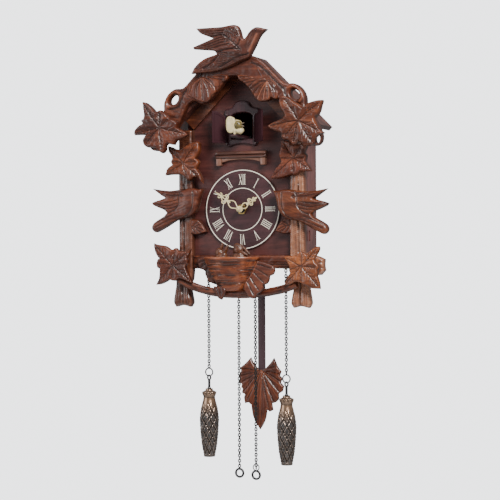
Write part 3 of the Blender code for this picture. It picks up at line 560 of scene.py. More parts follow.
def make_leaf(name, centre, tips, outline, back, thick, material, replaces, seed, step=0.9, curl=1.4):
    """A leaf whose lobes swell between the veins and whose tips bend back a little."""
    main, minor, creases = leaf_veins(centre, tips, seed)
    longest = max(math.dist(centre, tip) for tip in tips)
    edge_high = 0.42 * thick
    room = thick - edge_high

    def shape(points, edge):
        vein, fold = distance(points, main), distance(points, creases)
        swell = 1 - np.exp(-((vein / 3.0) ** 2))
        reach = np.hypot(points[:, 0] - centre[0], points[:, 1] - centre[1]) / longest
        body = room * rounded(edge, 3.0) * (0.74 + 0.26 * swell)
        height = body * (1 - 0.2 * np.clip(reach - 0.5, 0, 1)) - curl * np.clip(reach - 0.4, 0, 1) ** 2 * 2
        height = height - 0.3 * np.exp(-((fold / 1.4) ** 2)) * np.clip(edge / 2, 0, 1)
        depth, dark = grooved(points, [(main, 0.6, 1.0), (minor, 0.42, 0.7)])
        rough = unevenness(points, 0.3, 0.3, seed)
        height = height - depth * np.clip(0.3 + edge / 1.2, 0, 1) + 0.3 * rough * np.clip(edge, 0, 1)
        # Painted shade in the veins and along the outline; painted highlights beside the veins and just inside the
        # edge.
        painted_shade = np.maximum(dark * 0.85, 0.5 * np.clip(1 - edge / 0.45, 0, 1))
        beside = np.exp(-(((vein - 1.3) / 0.45) ** 2)) * np.clip(0.4 + 1.8 * rough, 0, 1)
        highlight_and_rubbing = np.maximum(0.22 * beside, 0.4 * np.clip(1 - abs(edge - 1.0) / 0.7, 0, 1) * (0.4 + rough))
        return height, painted_shade, np.clip(highlight_and_rubbing, 0, 1)

    outline = smooth(outline, step, 55)
    return relief(name, outline, back, back - edge_high, shape, material, (), step, replaces)


# ---- Swept and turned shapes ----------------------------------------------------------------------------------


def sweep(shape, route, y, wide, deep, sides=8, closed=False, cut=0.0, top=0.0, taper=None):
    """Adds a bar that follows a route in a plane y = constant; wide and deep are its half sizes in millimetres."""
    cuts, tops = marks(shape)
    count = len(route)
    rings = []
    for index, (x, z) in enumerate(route):
        before = route[index - 1] if closed or index else route[0]
        after = route[(index + 1) % count] if closed or index < count - 1 else route[-1]
        along = Vector((after[0] - before[0], after[1] - before[1])).normalized()
        side = Vector((-along.y, along.x))
        scale = taper(index / max(1, count - 1)) if taper else 1.0
        ring = []
        for step in range(sides):
            angle = 2 * math.pi * (step + 0.5) / sides
            out = side * (wide * scale * math.cos(angle))
            vert = shape.verts.new(place(x + out.x, y + deep * scale * math.sin(angle), z + out.y))
            # cut and top are the painted shade and the painted highlight of every vertex.
            vert[cuts], vert[tops] = cut, top
            ring.append(vert)
        rings.append(ring)
    join_rings(shape, rings + rings[:1] if closed else rings)
    if not closed:
        shape.faces.new(rings[0][::-1])
        shape.faces.new(rings[-1])


def marks(shape):
    """The vertex layers for painted shade in the cuts and for painted highlights, partly rubbed wood, on the ridges.
    """
    layers = shape.verts.layers.float
    return [layers.get(name) or layers.new(name) for name in ("painted_shade", "highlight_and_rubbing")]


def blank():
    shape = bmesh.new()
    marks(shape)
    return shape


def outward(shape):
    """Turns every face to look out."""
    bmesh.ops.recalc_face_normals(shape, faces=shape.faces)


def join_rings(shape, rings, caps=False):
    """Faces from each ring of vertices to the next and, where asked, over the first and the last."""
    count = len(rings[0])
    for first, second in zip(rings, rings[1:]):
        for turn in range(count):
            after = (turn + 1) % count
            shape.faces.new((first[turn], first[after], second[after], second[turn]))
    if caps:
        shape.faces.new(rings[0])
        shape.faces.new(rings[-1])


def circle(centre, radius, steps=32):
    return ellipse(centre, radius, radius, 0, steps)


def slab(name, outline, back, front, material, bevel=0.4, body="case", replaces=None, turn=None):
    """A board with eased edges. turn is (x, y, degrees): the upright line it is turned about, and how far."""
    shape = blank()
    near = [shape.verts.new(place(x, front, z)) for x, z in outline]
    far = [shape.verts.new(place(x, back, z)) for x, z in outline]
    shape.faces.new(near)
    shape.faces.new(far[::-1])
    for index in range(len(outline)):
        shape.faces.new((near[index], far[index], far[index - 1], near[index - 1]))
    outward(shape)
    ease(shape, bevel)
    if turn:
        x, y, degrees = turn
        spin = Matrix.Rotation(math.radians(degrees), 3, "Z")
        bmesh.ops.rotate(shape, cent=(x * MM, y * MM, 0), matrix=spin, verts=shape.verts)
    return finish_piece(name, shape, material, body, replaces)


def ease(shape, bevel):
    """Rounds the sharp edges and gives them a painted highlight."""
    if not bevel:
        return
    sharp = [edge for edge in shape.edges if edge.calc_face_angle(0) > math.radians(28)]
    made = bmesh.ops.bevel(shape, geom=sharp, offset=bevel * MM, segments=2, profile=0.6, affect="EDGES")
    tops = marks(shape)[1]
    for vert in made["verts"]:
        vert[tops] = 0.8


def lathe(shape, profile, centre, sides=40, axis="Z", swell=None):
    """Turns (radius, offset) pairs about an axis through the centre. swell(angle, offset) adds to the radius."""
    cuts, tops = marks(shape)
    rings = []
    for radius, offset in profile:
        ring = []
        for step in range(sides):
            angle = 2 * math.pi * step / sides
            extra, cut, top = swell(angle, offset) if swell and radius > 0.01 else (0.0, 0.0, 0.0)
            out = max(0.01, radius + extra)
            across, up = out * math.cos(angle), out * math.sin(angle)
            x, y, z = {"Z": (across, up, offset), "Y": (across, offset, up), "X": (offset, across, up)}[axis]
            vert = shape.verts.new(place(centre[0] + x, centre[1] + y, centre[2] + z))
            vert[cuts], vert[tops] = cut, top
            ring.append(vert)
        rings.append(ring)
    join_rings(shape, rings, caps=True)
    outward(shape)


def skin(name, balls, voxel, material, body, replaces=None, paint=None):
    """Balls melted into one skin. Each ball is (centre, radii, (axis, degrees) or None)."""
    rough = bmesh.new()
    for centre, radii, turn in balls:
        spin = Matrix.Rotation(math.radians(turn[1]), 4, turn[0]) if turn else Matrix.Identity(4)
        sizes = Matrix.Diagonal((*[radius * MM for radius in radii], 1))
        matrix = Matrix.Translation(place(*centre)) @ spin @ sizes
        bmesh.ops.create_icosphere(rough, subdivisions=3, radius=1, matrix=matrix)
    mesh = bpy.data.meshes.new(name + "_rough")
    rough.to_mesh(mesh)
    rough.free()
    lump = add_object(name + "_rough", mesh)
    melt = lump.modifiers.new("melt", "REMESH")
    melt.mode = "VOXEL"
    melt.voxel_size = voxel * MM
    ease_off = lump.modifiers.new("ease", "SMOOTH")
    ease_off.iterations = 6
    depsgraph = bpy.context.evaluated_depsgraph_get()
    melted = bpy.data.meshes.new_from_object(lump.evaluated_get(depsgraph))
    shape = bmesh.new()
    shape.from_mesh(melted)
    bpy.data.objects.remove(lump)
    bpy.data.meshes.remove(mesh)
    bpy.data.meshes.remove(melted)
    cuts, tops = marks(shape)
    # paint gives each vertex a rise and its painted shade and painted highlight.
    if paint:
        shape.normal_update()
        moves = []
        for vert in shape.verts:
            x, y, z = vert.co / MM
            rise, cut, top = paint(x, y, z - DIAL_Z)
            vert[cuts], vert[tops] = cut, top
            moves.append((vert, vert.normal * (rise * MM)))
        for vert, move in moves:
            vert.co += move
    return finish_piece(name, shape, material, body, replaces, 80)


# ---- Roof carving and top bird --------------------------------------------------------------------------------

CARVING_OUTER = trace(
    """
    0,178 27,179 39,172 52,159 66,146 77,145 86,139 91,129 92,118 102,104 108.4,92 111.2,82 109.4,75 104,71.8
    97.6,72.6 93,78 86,92
    """
)
CARVING_INNER = trace("74,98 66,112 60,125 52,130 42,126 32,128.5 23,138 14,148 7,156.5")
TOP_BIRD = trace(
    """
    47,209 33,212 26,208.5 18.5,199 15.5,201 13,209.5 9.5,215 3.5,216.5 -11,215 -44,215 -38.5,209 -22,202 -48,193
    -47,190.5 -20.5,187 -17.5,183 -34,178 -45,170 -50.5,161.5 -33.5,162 -15,163.5 -2.5,167 12,172.5 24.5,177.5
    27.5,181.5 32.5,190 39,202
    """
)


def roof_carving(looks):
    right = CARVING_OUTER + CARVING_INNER + [(0, 157.5)]
    outline = smooth(right + mirrored(right[1:-1]), 1.1, 58)
    holes, deep, fine, ridges = [], [], [], []
    for sign in (1, -1):

        def side(points):
            return [(sign * x, z) for x, z in points]

        holes.append(ellipse((sign * 78, 132.5), 6.8, 5.0, sign * -45, 28))
        holes.append(ellipse((sign * 105.4, 80), 3.0, 5.4, 0, 22))
        deep.append(side(trace("24,172 35,167 46,157 57,146 64,139")))
        deep.append(side(trace("64,139 67,131 70,124 77,121 84,121")))
        deep.append(side(trace("86,96 92,99 98,92 100,87")))
        for start, end in (
            ((30, 170), (36, 155)), ((36, 168), (40, 156)), ((43, 162), (45, 154)), ((50, 155), (50, 149))
        ):
            fine.append(wandering(*side([start, end]), 0.6, start[0]))
        for number in range(6):
            first = (57 + 3.4 * number, 131 - 5.2 * number)
            last = (66 + 3.4 * number, 137 - 6.4 * number)
            fine.append(wandering(*side([first, last]), 0.7, number))
        ridges.append(smooth(side(trace("69,140 77,141.3 84,136 87,128 84,123")), 1.5, closed=False))
        ridges.append(side(trace("103,73.4 107,74.6 109.6,79 109.4,85")))
    shape = carve(3.6, 4.0, [(deep, 1.3, 1.3), (fine, 0.6, 0.6)], seed=4, ridges=[(ridges, 1.1, 0.7)])
    relief("carved_roof", outline, -98.3, -105.0, shape, looks["carved"], holes, 1.2, "roof_carving")


SLOPE_LEAVES = {
    "left": trace(
        """
        -38.5,159 -46,157.5 -53,153.5 -58,148 -59.5,141 -56,134.5 -50.5,132.5 -46.5,130 -41,128 -33.5,127.5
        -29.5,130.5 -27,135 -21.5,139.5 -22,144.5 -17.5,145.5 -15,149.5 -10,151.5 -6.5,154.5 -6,158 -13.5,160.5
        -22.5,160.5 -30.5,159
        """
    ),
    "right": trace(
        """
        5.5,158 12,158.5 21,157 28.5,155 37.5,154.5 45,153 50.5,150 55,145 57.5,138 58,131 56,127.5 52.5,128
        48.5,130 46,127 40,125.5 33.5,126 29,129 25.5,135 21.5,140.5 16.5,146 12.5,149.5 8,152.5
        """
    ),
}
SLOPE_FOLDS = {
    "left": traces(
        """
        -41,155.5 -40,144.5 -38.5,130.5 | -41.5,155.5 -46.5,145 -46.5,134 | -39.5,155.5 -33,145.5 -30.5,133.5 |
        -38.5,156 -29.5,149 -24,141.5 | -42.5,155.5 -51.5,149 -55,139.5 | -30.5,157.5 -20,154.5 -12.5,153 |
        -29.5,158.5 -19,158 -8.5,157
        """
    ),
    "right": traces(
        """
        42.5,150 32.5,146 22,140.5 | 42.5,149 33.5,142.5 26.5,134.5 | 42.5,148 36,139 31,128.5 | 43,148 40,137.5
        38,127 | 43.5,148 45,138.5 45,129 | 45,149 50,140.5 52.5,130 | 37.5,151.5 24.5,152.5 12,150.5 | 35,153.5
        22,154.5 9.5,155.5 | 28,149.8 20,148.2 15.5,147.5
        """
    ),
}
SLOPE_RIMS = {
    "left": [trace("-23,145 -30.5,154.5 -38.5,157.5 -47.5,155 -55,149 -57.5,139.5")],
    "right": traces("21,143 28.5,150.5 40,152.5 50,147.5 56,138 | 28.5,144 36,149 45,148.5 51,143 54.5,135.5"),
}


def slope_leaves(looks):
    """The two rounded leaves that hang over the gable's inner edge."""
    for name, outline in SLOPE_LEAVES.items():
        folds = [smooth(line, 1.5, closed=False) for line in SLOPE_FOLDS[name]]
        rims = [smooth(line, 1.5, closed=False) for line in SLOPE_RIMS[name]]
        # The pale lines are low ridges beside three folds, with a painted highlight.
        pale = [[(x + 1.1, z + 0.3) for x, z in line] for line in folds[2:5]]
        groups = [(folds, 0.75, 1.0), (rims, 0.9, 1.1)]
        shape = carve(2.2, 2.4, groups, seed=9, highlight_and_rubbing_share=0.7, ridges=[(pale, 0.5, 0.25)])
        # The right leaf takes a lighter copy of the wood: painted light from the right.
        look = looks["carved_up" if name == "left" else "slope_right"]
        relief(f"slope_leaf_{name}", smooth(outline, 1.0, 60), -103.5, -107.4, shape, look)


def dots(corners, count, size, seed):
    """Short punch marks scattered over the box between two corners."""
    source = random.Random(seed)
    (x0, z0), (x1, z1) = corners
    found = []
    for _ in range(count):
        x, z = source.uniform(x0, x1), source.uniform(z0, z1)
        found.append([(x, z), (x + size * source.uniform(0.3, 1), z - size * source.uniform(0.2, 0.7))])
    return found


def top_bird(looks):
    upper = traces(
        """
        -6,213.4 -20,213 -38,213.4 | -7,210.4 -20,210 -36,211 | -8,207.6 -19,207.4 -33,208.6 | -10,205 -18,204.8
        -27,205.6
        """
    )
    middle = traces(
        """
        -3,203 -14,201.5 -30,197 -44,193.6 | -2,200 -13,199 -28,194.5 -42,192.6 | -1,197 -12,196 -26,192.2 -38,191.4
        | 1,194 -10,193 -22,190 -31,190
        """
    )
    folds = traces(
        """
        -24,203.2 -9,205 1,198.5 8,192.5 12,188 | 14,200 11,193 6,189 | -18,184.5 -6,187.5 6,188 14,186.5 | -14,182
        -22,174 -34,166 | 24,181 10,178 -3,172 -14,167
        """
    )
    body = []
    for number in range(6):
        body.append(
            wandering((15 - number, 184.5 - 1.9 * number), (-13 - number, 183.5 - 2.6 * number), 0.9, number, 20)
        )
    tail = [wandering((-18 - n, 181 - 3.4 * n), (-44 + 2 * n, 168.5 - 1.6 * n), 0.5, n) for n in range(4)]
    tail += [wandering((-16 + 3 * n, 169 - n), (-38 + 5 * n, 163.5), 0.4, 9 + n) for n in range(4)]
    neck = [wandering((19 + n, 190 - n), (28 + 1.5 * n, 205 - 2 * n), 0.5, 5 + n) for n in range(4)]
    feathers = [smooth(line, 2, closed=False) for line in upper + middle]
    groups = [
        (feathers, 0.75, 1.1), (curves(folds, 2), 1.1, 1.6), (body + tail, 0.7, 0.7), (neck, 0.6, 0.35),
        (dots([(-7, 193), (11, 213)], 90, 1.6, 3), 0.6, 0.9)
    ]
    ridges = [([[(35, 203), (29, 191), (25.5, 184)]], 1.3, 0.6)]
    swells = [((3, 205), 11, 1.2), ((8, 182), 14, 1.6), ((27, 200), 8, 0.8)]
    shape = carve(3.4, 3.4, groups, swells, 0.3, 2, 0.6, ridges)
    outline = smooth(TOP_BIRD, 0.9, 50)
    relief("carved_top_bird", outline, -110.4, -114.6, shape, looks["top_bird"], (), 0.95, "top_bird")
    eye = bmesh.new()
    lathe(eye, trace("0.01,-1.1 0.8,-0.8 1.1,0 1.1,0.8"), (34, -118.0, 208.8), 14, "Y")
    finish_piece("top_bird_eye", eye, looks["dark"], "case")


# ---- Side birds, posts and leaves -----------------------------------------------------------------------------

SIDE_BIRD = trace(
    """
    44.6,25.8 50.8,24.8 58,26.2 66.5,26 76,24.9 88,23.6 99.7,24.4 112.8,26.4 107,22.4 101.6,18.6 95.8,15.2
    101.2,13.2 107.6,11.6 114,9.4 112.4,6.8 105,3.4 97.6,0.4 93.8,-3 97.4,-7 102.6,-10 107.6,-12.8 112.4,-16.6
    113.9,-21 112,-25 108,-26.8 101,-23.8 92.6,-19.4 86.6,-15.8 81,-12.8 72.6,-10.2 61.4,-8 55,-3 51.6,3 50,10 48,18
    """
)
POST = trace(
    """
    63,97 63,-70 64.5,-84 67.5,-90 64,-112 67,-117.5 76,-115.5 86,-117.5 89,-112 86,-91 86,-80 101,-78.5 106,-73
    105,-67 105.5,-60 99,-57 81.5,-52 81.5,97
    """
)
BUD = trace("65,-11 56,-12 49,-19 45,-26.5 55,-29.5 65,-29")
# Each leaf is its centre, the tips that its veins run to, and its outline.
LEAVES = {
    "roof_leaf_left": (
        (-92, 98.5),
        trace("-115,129.5 -126,92.5 -111,78.5 -89.5,70 -56.5,89.5 -92,118 -79,110"),
        trace(
            """
            -116,131 -110.5,129.5 -105.5,126 -101.5,122.5 -98.5,119 -96.5,117.5 -94,119.5 -90.5,119.5 -88,117.5
            -83,115.5 -79,110 -71,106.5 -67.5,103 -69,98 -64.5,95.5 -59,93 -55,89 -59,86.5 -64.5,84 -69.5,83
            -72.5,79.5 -73.5,77.5 -77.5,78 -81.5,79 -84.5,76.5 -84.5,73 -86.5,69.5 -89.5,68 -92.5,69.5 -95.5,72.5
            -97.5,74.5 -103,75 -108.5,75.5 -112.5,77.5 -114.5,81.5 -114.5,85 -112.5,88.5 -111,90.5 -119,91 -127,91
            -126.5,95.5 -123.5,99.5 -119,103 -116,104 -115,105.5 -117,107 -116,109 -113.5,111 -113,116 -114.5,122
            -115.5,128
            """
        ),
    ),
    "roof_leaf_right": (
        (86, 101),
        trace("112.5,121 69,126 48.5,95.5 68.5,82 79.5,75 103,74 113,86.5"),
        trace(
            """
            115,123.5 109.5,123.5 103.5,122.5 98.5,121 95,118.5 91.5,115.5 87.5,119 82.5,122 76.5,126.5 70,129.5
            64.5,130 61.5,126.5 62,120.5 64,115 67.5,110 68.5,107 66,104.5 63.5,103 58.5,101.5 52.5,99.5 48,97
            46.5,95.5 50,92.5 56,89.5 62.5,87.5 64.5,85.5 64,81.5 67.5,79 72.5,78.5 76,75 79,72 82,73.5 86,76.5
            89,74.5 92,71 97,71 102,71.5 104.6,73 105.4,77.5 108.4,82 113,84 117,85.5 113,88.5 110.5,92 108,97.5
            106.5,101 107,104 109.5,106 111,108.5 112.5,111.5 114,117.5 115.5,122
            """
        ),
    ),
    "post_leaf_left": (
        (-71, 57),
        trace("-91,76 -56,78 -53,58 -48.5,36 -67,37.5 -93.5,44 -86,59"),
        trace(
            """
            -92.5,78 -87,76.5 -83,74.5 -79,73.5 -75.5,72.5 -72,75 -68,77.5 -64,80 -59,82 -53.5,82.5 -50,80.5
            -49.5,75.5 -50,69.5 -52.5,65 -54.5,62 -51.5,59.5 -50.5,56.5 -52,52.5 -53.5,49.5 -51,46.5 -48.5,42 -47,37
            -46.5,31.5 -50,35.5 -53.5,39 -58.5,38.5 -62.5,35.5 -65.5,35.5 -68.5,38 -71,41 -75,42.5 -81.5,43 -88.5,43
            -93.5,42.5 -96,42.5 -95,46.5 -92.5,51 -88.5,54 -86.5,55 -88,58 -87.5,60.5 -86,62.5 -88,67 -91,70.5
            -92,74.5
            """
        ),
    ),
    "post_leaf_right": (
        (71.5, 59),
        trace("57.5,79.5 55,59.5 43.5,37 71,40.5 91,44.5 85.5,59.5 81.5,72.5"),
        trace(
            """
            55,81 55.5,77 55,71 53.5,66.5 53,61.5 54.5,58 55.5,55 52.5,51 48.5,47.5 46,43 43,38.5 40.5,35.5 47,35
            55,35.5 61,37 66,38.5 69.5,40 72.5,39 75,40 78,42 80,43 83.5,42.5 88.5,43 93.5,43 91,48 88,52 86,55
            87,58.5 87.5,62 85,64.5 85.5,67 87.5,70 88.5,73.5 82.5,76 75,74.5 66.5,78
            """
        ),
    ),
    "corner_leaf_left": (
        (-82, -66.5),
        trace("-106.5,-41.5 -102,-64.5 -103.5,-89.5 -82.5,-84 -58,-87 -62.5,-64 -60,-49 -77.5,-47.5"),
        trace(
            """
            -108,-40 -104,-41.5 -97,-42.5 -91.5,-43.5 -88.5,-45 -85,-47.5 -83.5,-48 -81,-47 -79.5,-46 -77,-46
            -75.5,-47.5 -74,-49.5 -70.5,-50 -65,-50 -58,-47 -60,-52 -63,-57 -62,-60.5 -62.5,-64.5 -65,-67.5
            -64,-71.5 -61.5,-77.5 -58.5,-83.5 -57,-88.5 -62.5,-86.5 -68,-84 -73.5,-82.5 -76,-83.5 -78,-85.5
            -81.5,-85.5 -84.5,-85 -86.5,-84 -90.5,-86.5 -96,-89 -100,-90 -105.5,-90.5 -103.5,-87 -101.5,-83.5
            -100.5,-78.5 -100,-72.5 -100,-71 -103,-69.5 -104,-66.5 -104,-63 -102.5,-59.5 -100.5,-58.5 -104,-54.5
            -106.5,-49 -108,-43.5
            """
        ),
    ),
    "corner_leaf_right": (
        (83.5, -68),
        trace("103.5,-47 84.5,-52 63.5,-58 68,-72.5 63.5,-89 83.5,-87 104.5,-92.5 102,-70"),
        trace(
            """
            105.5,-45 101,-45.5 96,-48.5 92.5,-51.5 90,-54 87.5,-52.5 83.5,-51 80,-52.5 77.5,-55.5 73.5,-55.5 70,-56
            65,-56 60.5,-57 63.5,-60.5 67,-65.5 68,-69 67.5,-72.5 68.5,-76 66,-79.5 63.5,-84 61.5,-90.5 66,-90.5
            70,-89 75,-86.5 79.5,-86.5 83,-88 84.5,-89 88.5,-91 92,-93 97,-94 106.5,-94.5 106,-90 105,-85 104,-81.5
            103,-79 104,-76 103.5,-73 105,-70 104,-66.5 101,-63 100,-59.5 101.5,-56 104,-52.5 106,-48
            """
        ),
    ),
}


def side_birds(looks):
    for name, sign, drop in (("left", -1, 0), ("right", 1, -4)):

        def side(points, flip=sign, lower=drop):
            return [(flip * x, z + lower) for x, z in points]

        def line(points, step=1.5):
            return smooth(side(points), step, closed=False)

        wing = [
            line([(76, 21.6), (90, 21.8), (108, 24.8)]), line([(74, 17.6), (86, 17.6), (98, 20)]),
            line([(78, 12), (92, 9.5), (110, 9)]), line([(78, 8), (90, 5.2), (108, 7.2)]),
            line([(80, 3.6), (88, 2), (97, 1.6)])
        ]
        tail = [line([(80, -9), (94, -14.4), (108, -20.4)]), line([(84, -5.6), (96, -10), (108, -15.4)])]
        folds = [line(trace("68,25 74,22.6 76,15 77,6 82,0 90,-3.4"))]
        folds.append(line(trace("57.6,22 57,13 58,4 62.4,-4 70,-8.4")))
        folds.append(line(trace("70,17.4 72,19 74,17.6 72.4,15.8 70,17.4")))
        grain = [line(wandering((58 + n, 19 - 4.4 * n), (72 + 4 * n, 12 - 4.6 * n), 0.8, n)) for n in range(5)]
        eye = [side([(50.6, 21.6), (51.4, 20.9)])]
        groups = [(wing + tail, 0.65, 0.95), (folds, 0.8, 1.1), (grain, 0.4, 0.3), (eye, 0.8, 1.0)]
        groups.append(([side(mark) for mark in dots([(79, 13), (88, 19)], 22, 1.6, 8)], 0.5, 0.5))
        swells = [(side([(63, 8)])[0], 12, 2.4), (side([(52, 20)])[0], 6, 1.0), (side([(90, 17)])[0], 12, 0.6)]
        swells.append((side([(96, -15)])[0], 10, 1.0))
        outline = smooth(side(SIDE_BIRD), 0.9, 60)
        shape = carve(4.4, 5.2, groups, swells, 0.3, 5 + sign, 0.45)
        # The right bird takes a lighter, warmer copy of the wood: painted light from the right.
        look = looks["carved" if name == "left" else "carved_lit"]
        relief(f"carved_bird_{name}", outline, -88.7, -93.3, shape, look, (), 0.95, f"side_bird_{name}")


def posts(looks):
    for name, sign in (("left", -1), ("right", 1)):

        def side(points, flip=sign):
            return [(flip * x, z) for x, z in points]

        streaks, splits = [], []
        for number in range(7):
            x = 65.5 + 2.3 * number
            streaks.append(wandering((sign * x, 95), (sign * (x + 0.6), -60), 0.9, number + sign, 40))
        for number in range(6):
            x = 68.5 + 3.0 * number
            streaks.append(wandering((sign * (x + 1), -84), (sign * (66 + 4.2 * number), -116), 0.7, 20 + number, 14))
        splits.append(wandering((sign * 76.5, -80), (sign * 76, -117), 0.5, 3))
        splits.append(wandering((sign * 74, 30), (sign * 74.5, -52), 0.8, 11, 24))
        branch = [
            wandering((sign * 86, -75), (sign * 104, -70), 0.6, 4),
            wandering((sign * 86, -63), (sign * 104, -64), 0.6, 6)
        ]
        outline = smooth(side(POST), 1.4, 40)
        swells = [(side([(70, -108)])[0], 7, 1.6), (side([(83, -108)])[0], 7, 1.6), (side([(99, -68)])[0], 8, 1.2)]
        shape = carve(
            3.0, 3.6, [(streaks, 0.6, 0.55), (splits, 1.1, 2.0), (branch, 0.9, 0.8)], swells, 0.5, sign, 1.0
        )
        # The right post takes a much lighter copy of the wood: painted light from the right.
        look = looks["post" if name == "left" else "post_lit"]
        relief(f"carved_post_{name}", outline, FACADE_FRONT, -84.6, shape, look, (), 1.4, f"post_{name}")
        veins = traces(
            """
            64,-20 56,-21 48,-25 | 62,-20 58,-16 54,-14 | 59,-20.6 54,-18 51,-19 | 60,-20.5 56,-25 52,-27.5 | 64,-21
            61,-25 59,-28
            """
        )
        bud = smooth(side(BUD), 0.9, 50)
        shape = carve(1.8, 2.0, [([side(vein) for vein in veins], 0.7, 0.9)], (), 0.2, 7, 0.9)
        relief(f"bud_leaf_{name}", bud, -79, -86.2, shape, looks["carved"], (), 0.9)
    lines = [wandering((-61, z), (61, z + 0.4), 0.5, 3 * z, 30) for z in (-57.5, -60.5, -64, -67.5)]
    rail = smooth(trace("-62.7,-71 62.7,-71 62.7,-55 -62.7,-55"), 1.5, 40)
    shape = carve(
        2.6, 3.0, [(lines, 0.5, 0.4), ([wandering((-61, -66), (61, -66.4), 0.7, 2, 30)], 0.9, 1.1)], (), 0.4, 8, 0.8
    )
    relief("carved_rail", rail, FACADE_FRONT, -85.4, shape, looks["carved"], (), 1.4, "bottom_rail")


def leaves(looks):
    # The right roof and corner leaves take lighter, warmer copies of the wood: painted light from the right.
    for name, back, thick, look in (
        ("roof_leaf_left", -110.3, 9.7, "carved"),
        ("roof_leaf_right", -110.3, 9.7, "carved_lit"),
        ("post_leaf_left", -88.6, 8.9, "leaf_amber"),
        ("post_leaf_right", -88.6, 8.9, "leaf_right"),
        ("corner_leaf_left", -98.8, 6.2, "carved"),
        ("corner_leaf_right", -98.8, 6.2, "leaf_lit"),
    ):
        centre, tips, outline = LEAVES[name]
        make_leaf(f"carved_{name}", centre, tips, outline, back, thick, looks[look], name, len(name) + thick)


def branch(looks):
    """The low branch: a round bar with knife-cut sides and bark lines."""
    shape = bmesh.new()
    cuts, tops = marks(shape)
    steps, sides = 150, 26
    rings = []
    for step in range(steps + 1):
        x = -76 + 150 * step / steps
        rise, lift = abs(x + 1) / 75, 13 if x < -1 else 8.5
        z = -101.4 + lift * rise**2 + 4 * rise**4
        slope = math.atan((2 * lift * rise + 16 * rise**3) / 75) * (1 if x > -1 else -1)
        ring = []
        for turn in range(sides):
            angle = 2 * math.pi * turn / sides
            rough = noise.noise(Vector((x * 0.05, 3 * math.cos(angle), 3 * math.sin(angle))))
            fine = noise.noise(Vector((x * 0.12, 7 * math.cos(angle), 7 * math.sin(angle) + 9)))
            groove = max(0.0, fine - 0.12)
            radius = 4.55 + 0.35 * rough - 0.9 * groove
            up, out = 1.08 * radius * math.sin(angle), radius * math.cos(angle)
            vert = shape.verts.new(place(x - up * math.sin(slope), -93.5 - out, z + up * math.cos(slope)))
            # Painted shade in the bark grooves and a painted highlight on the raised bumps.
            vert[cuts] = min(1.0, 3.2 * groove)
            vert[tops] = max(0.0, min(1.0, 1.3 * rough - 0.1))
            ring.append(vert)
        rings.append(ring)
    join_rings(shape, rings, caps=True)
    outward(shape)
    finish_piece("carved_branch", shape, looks["carved"], "case", "branch")


# ---- Nest -----------------------------------------------------------------------------------------------------


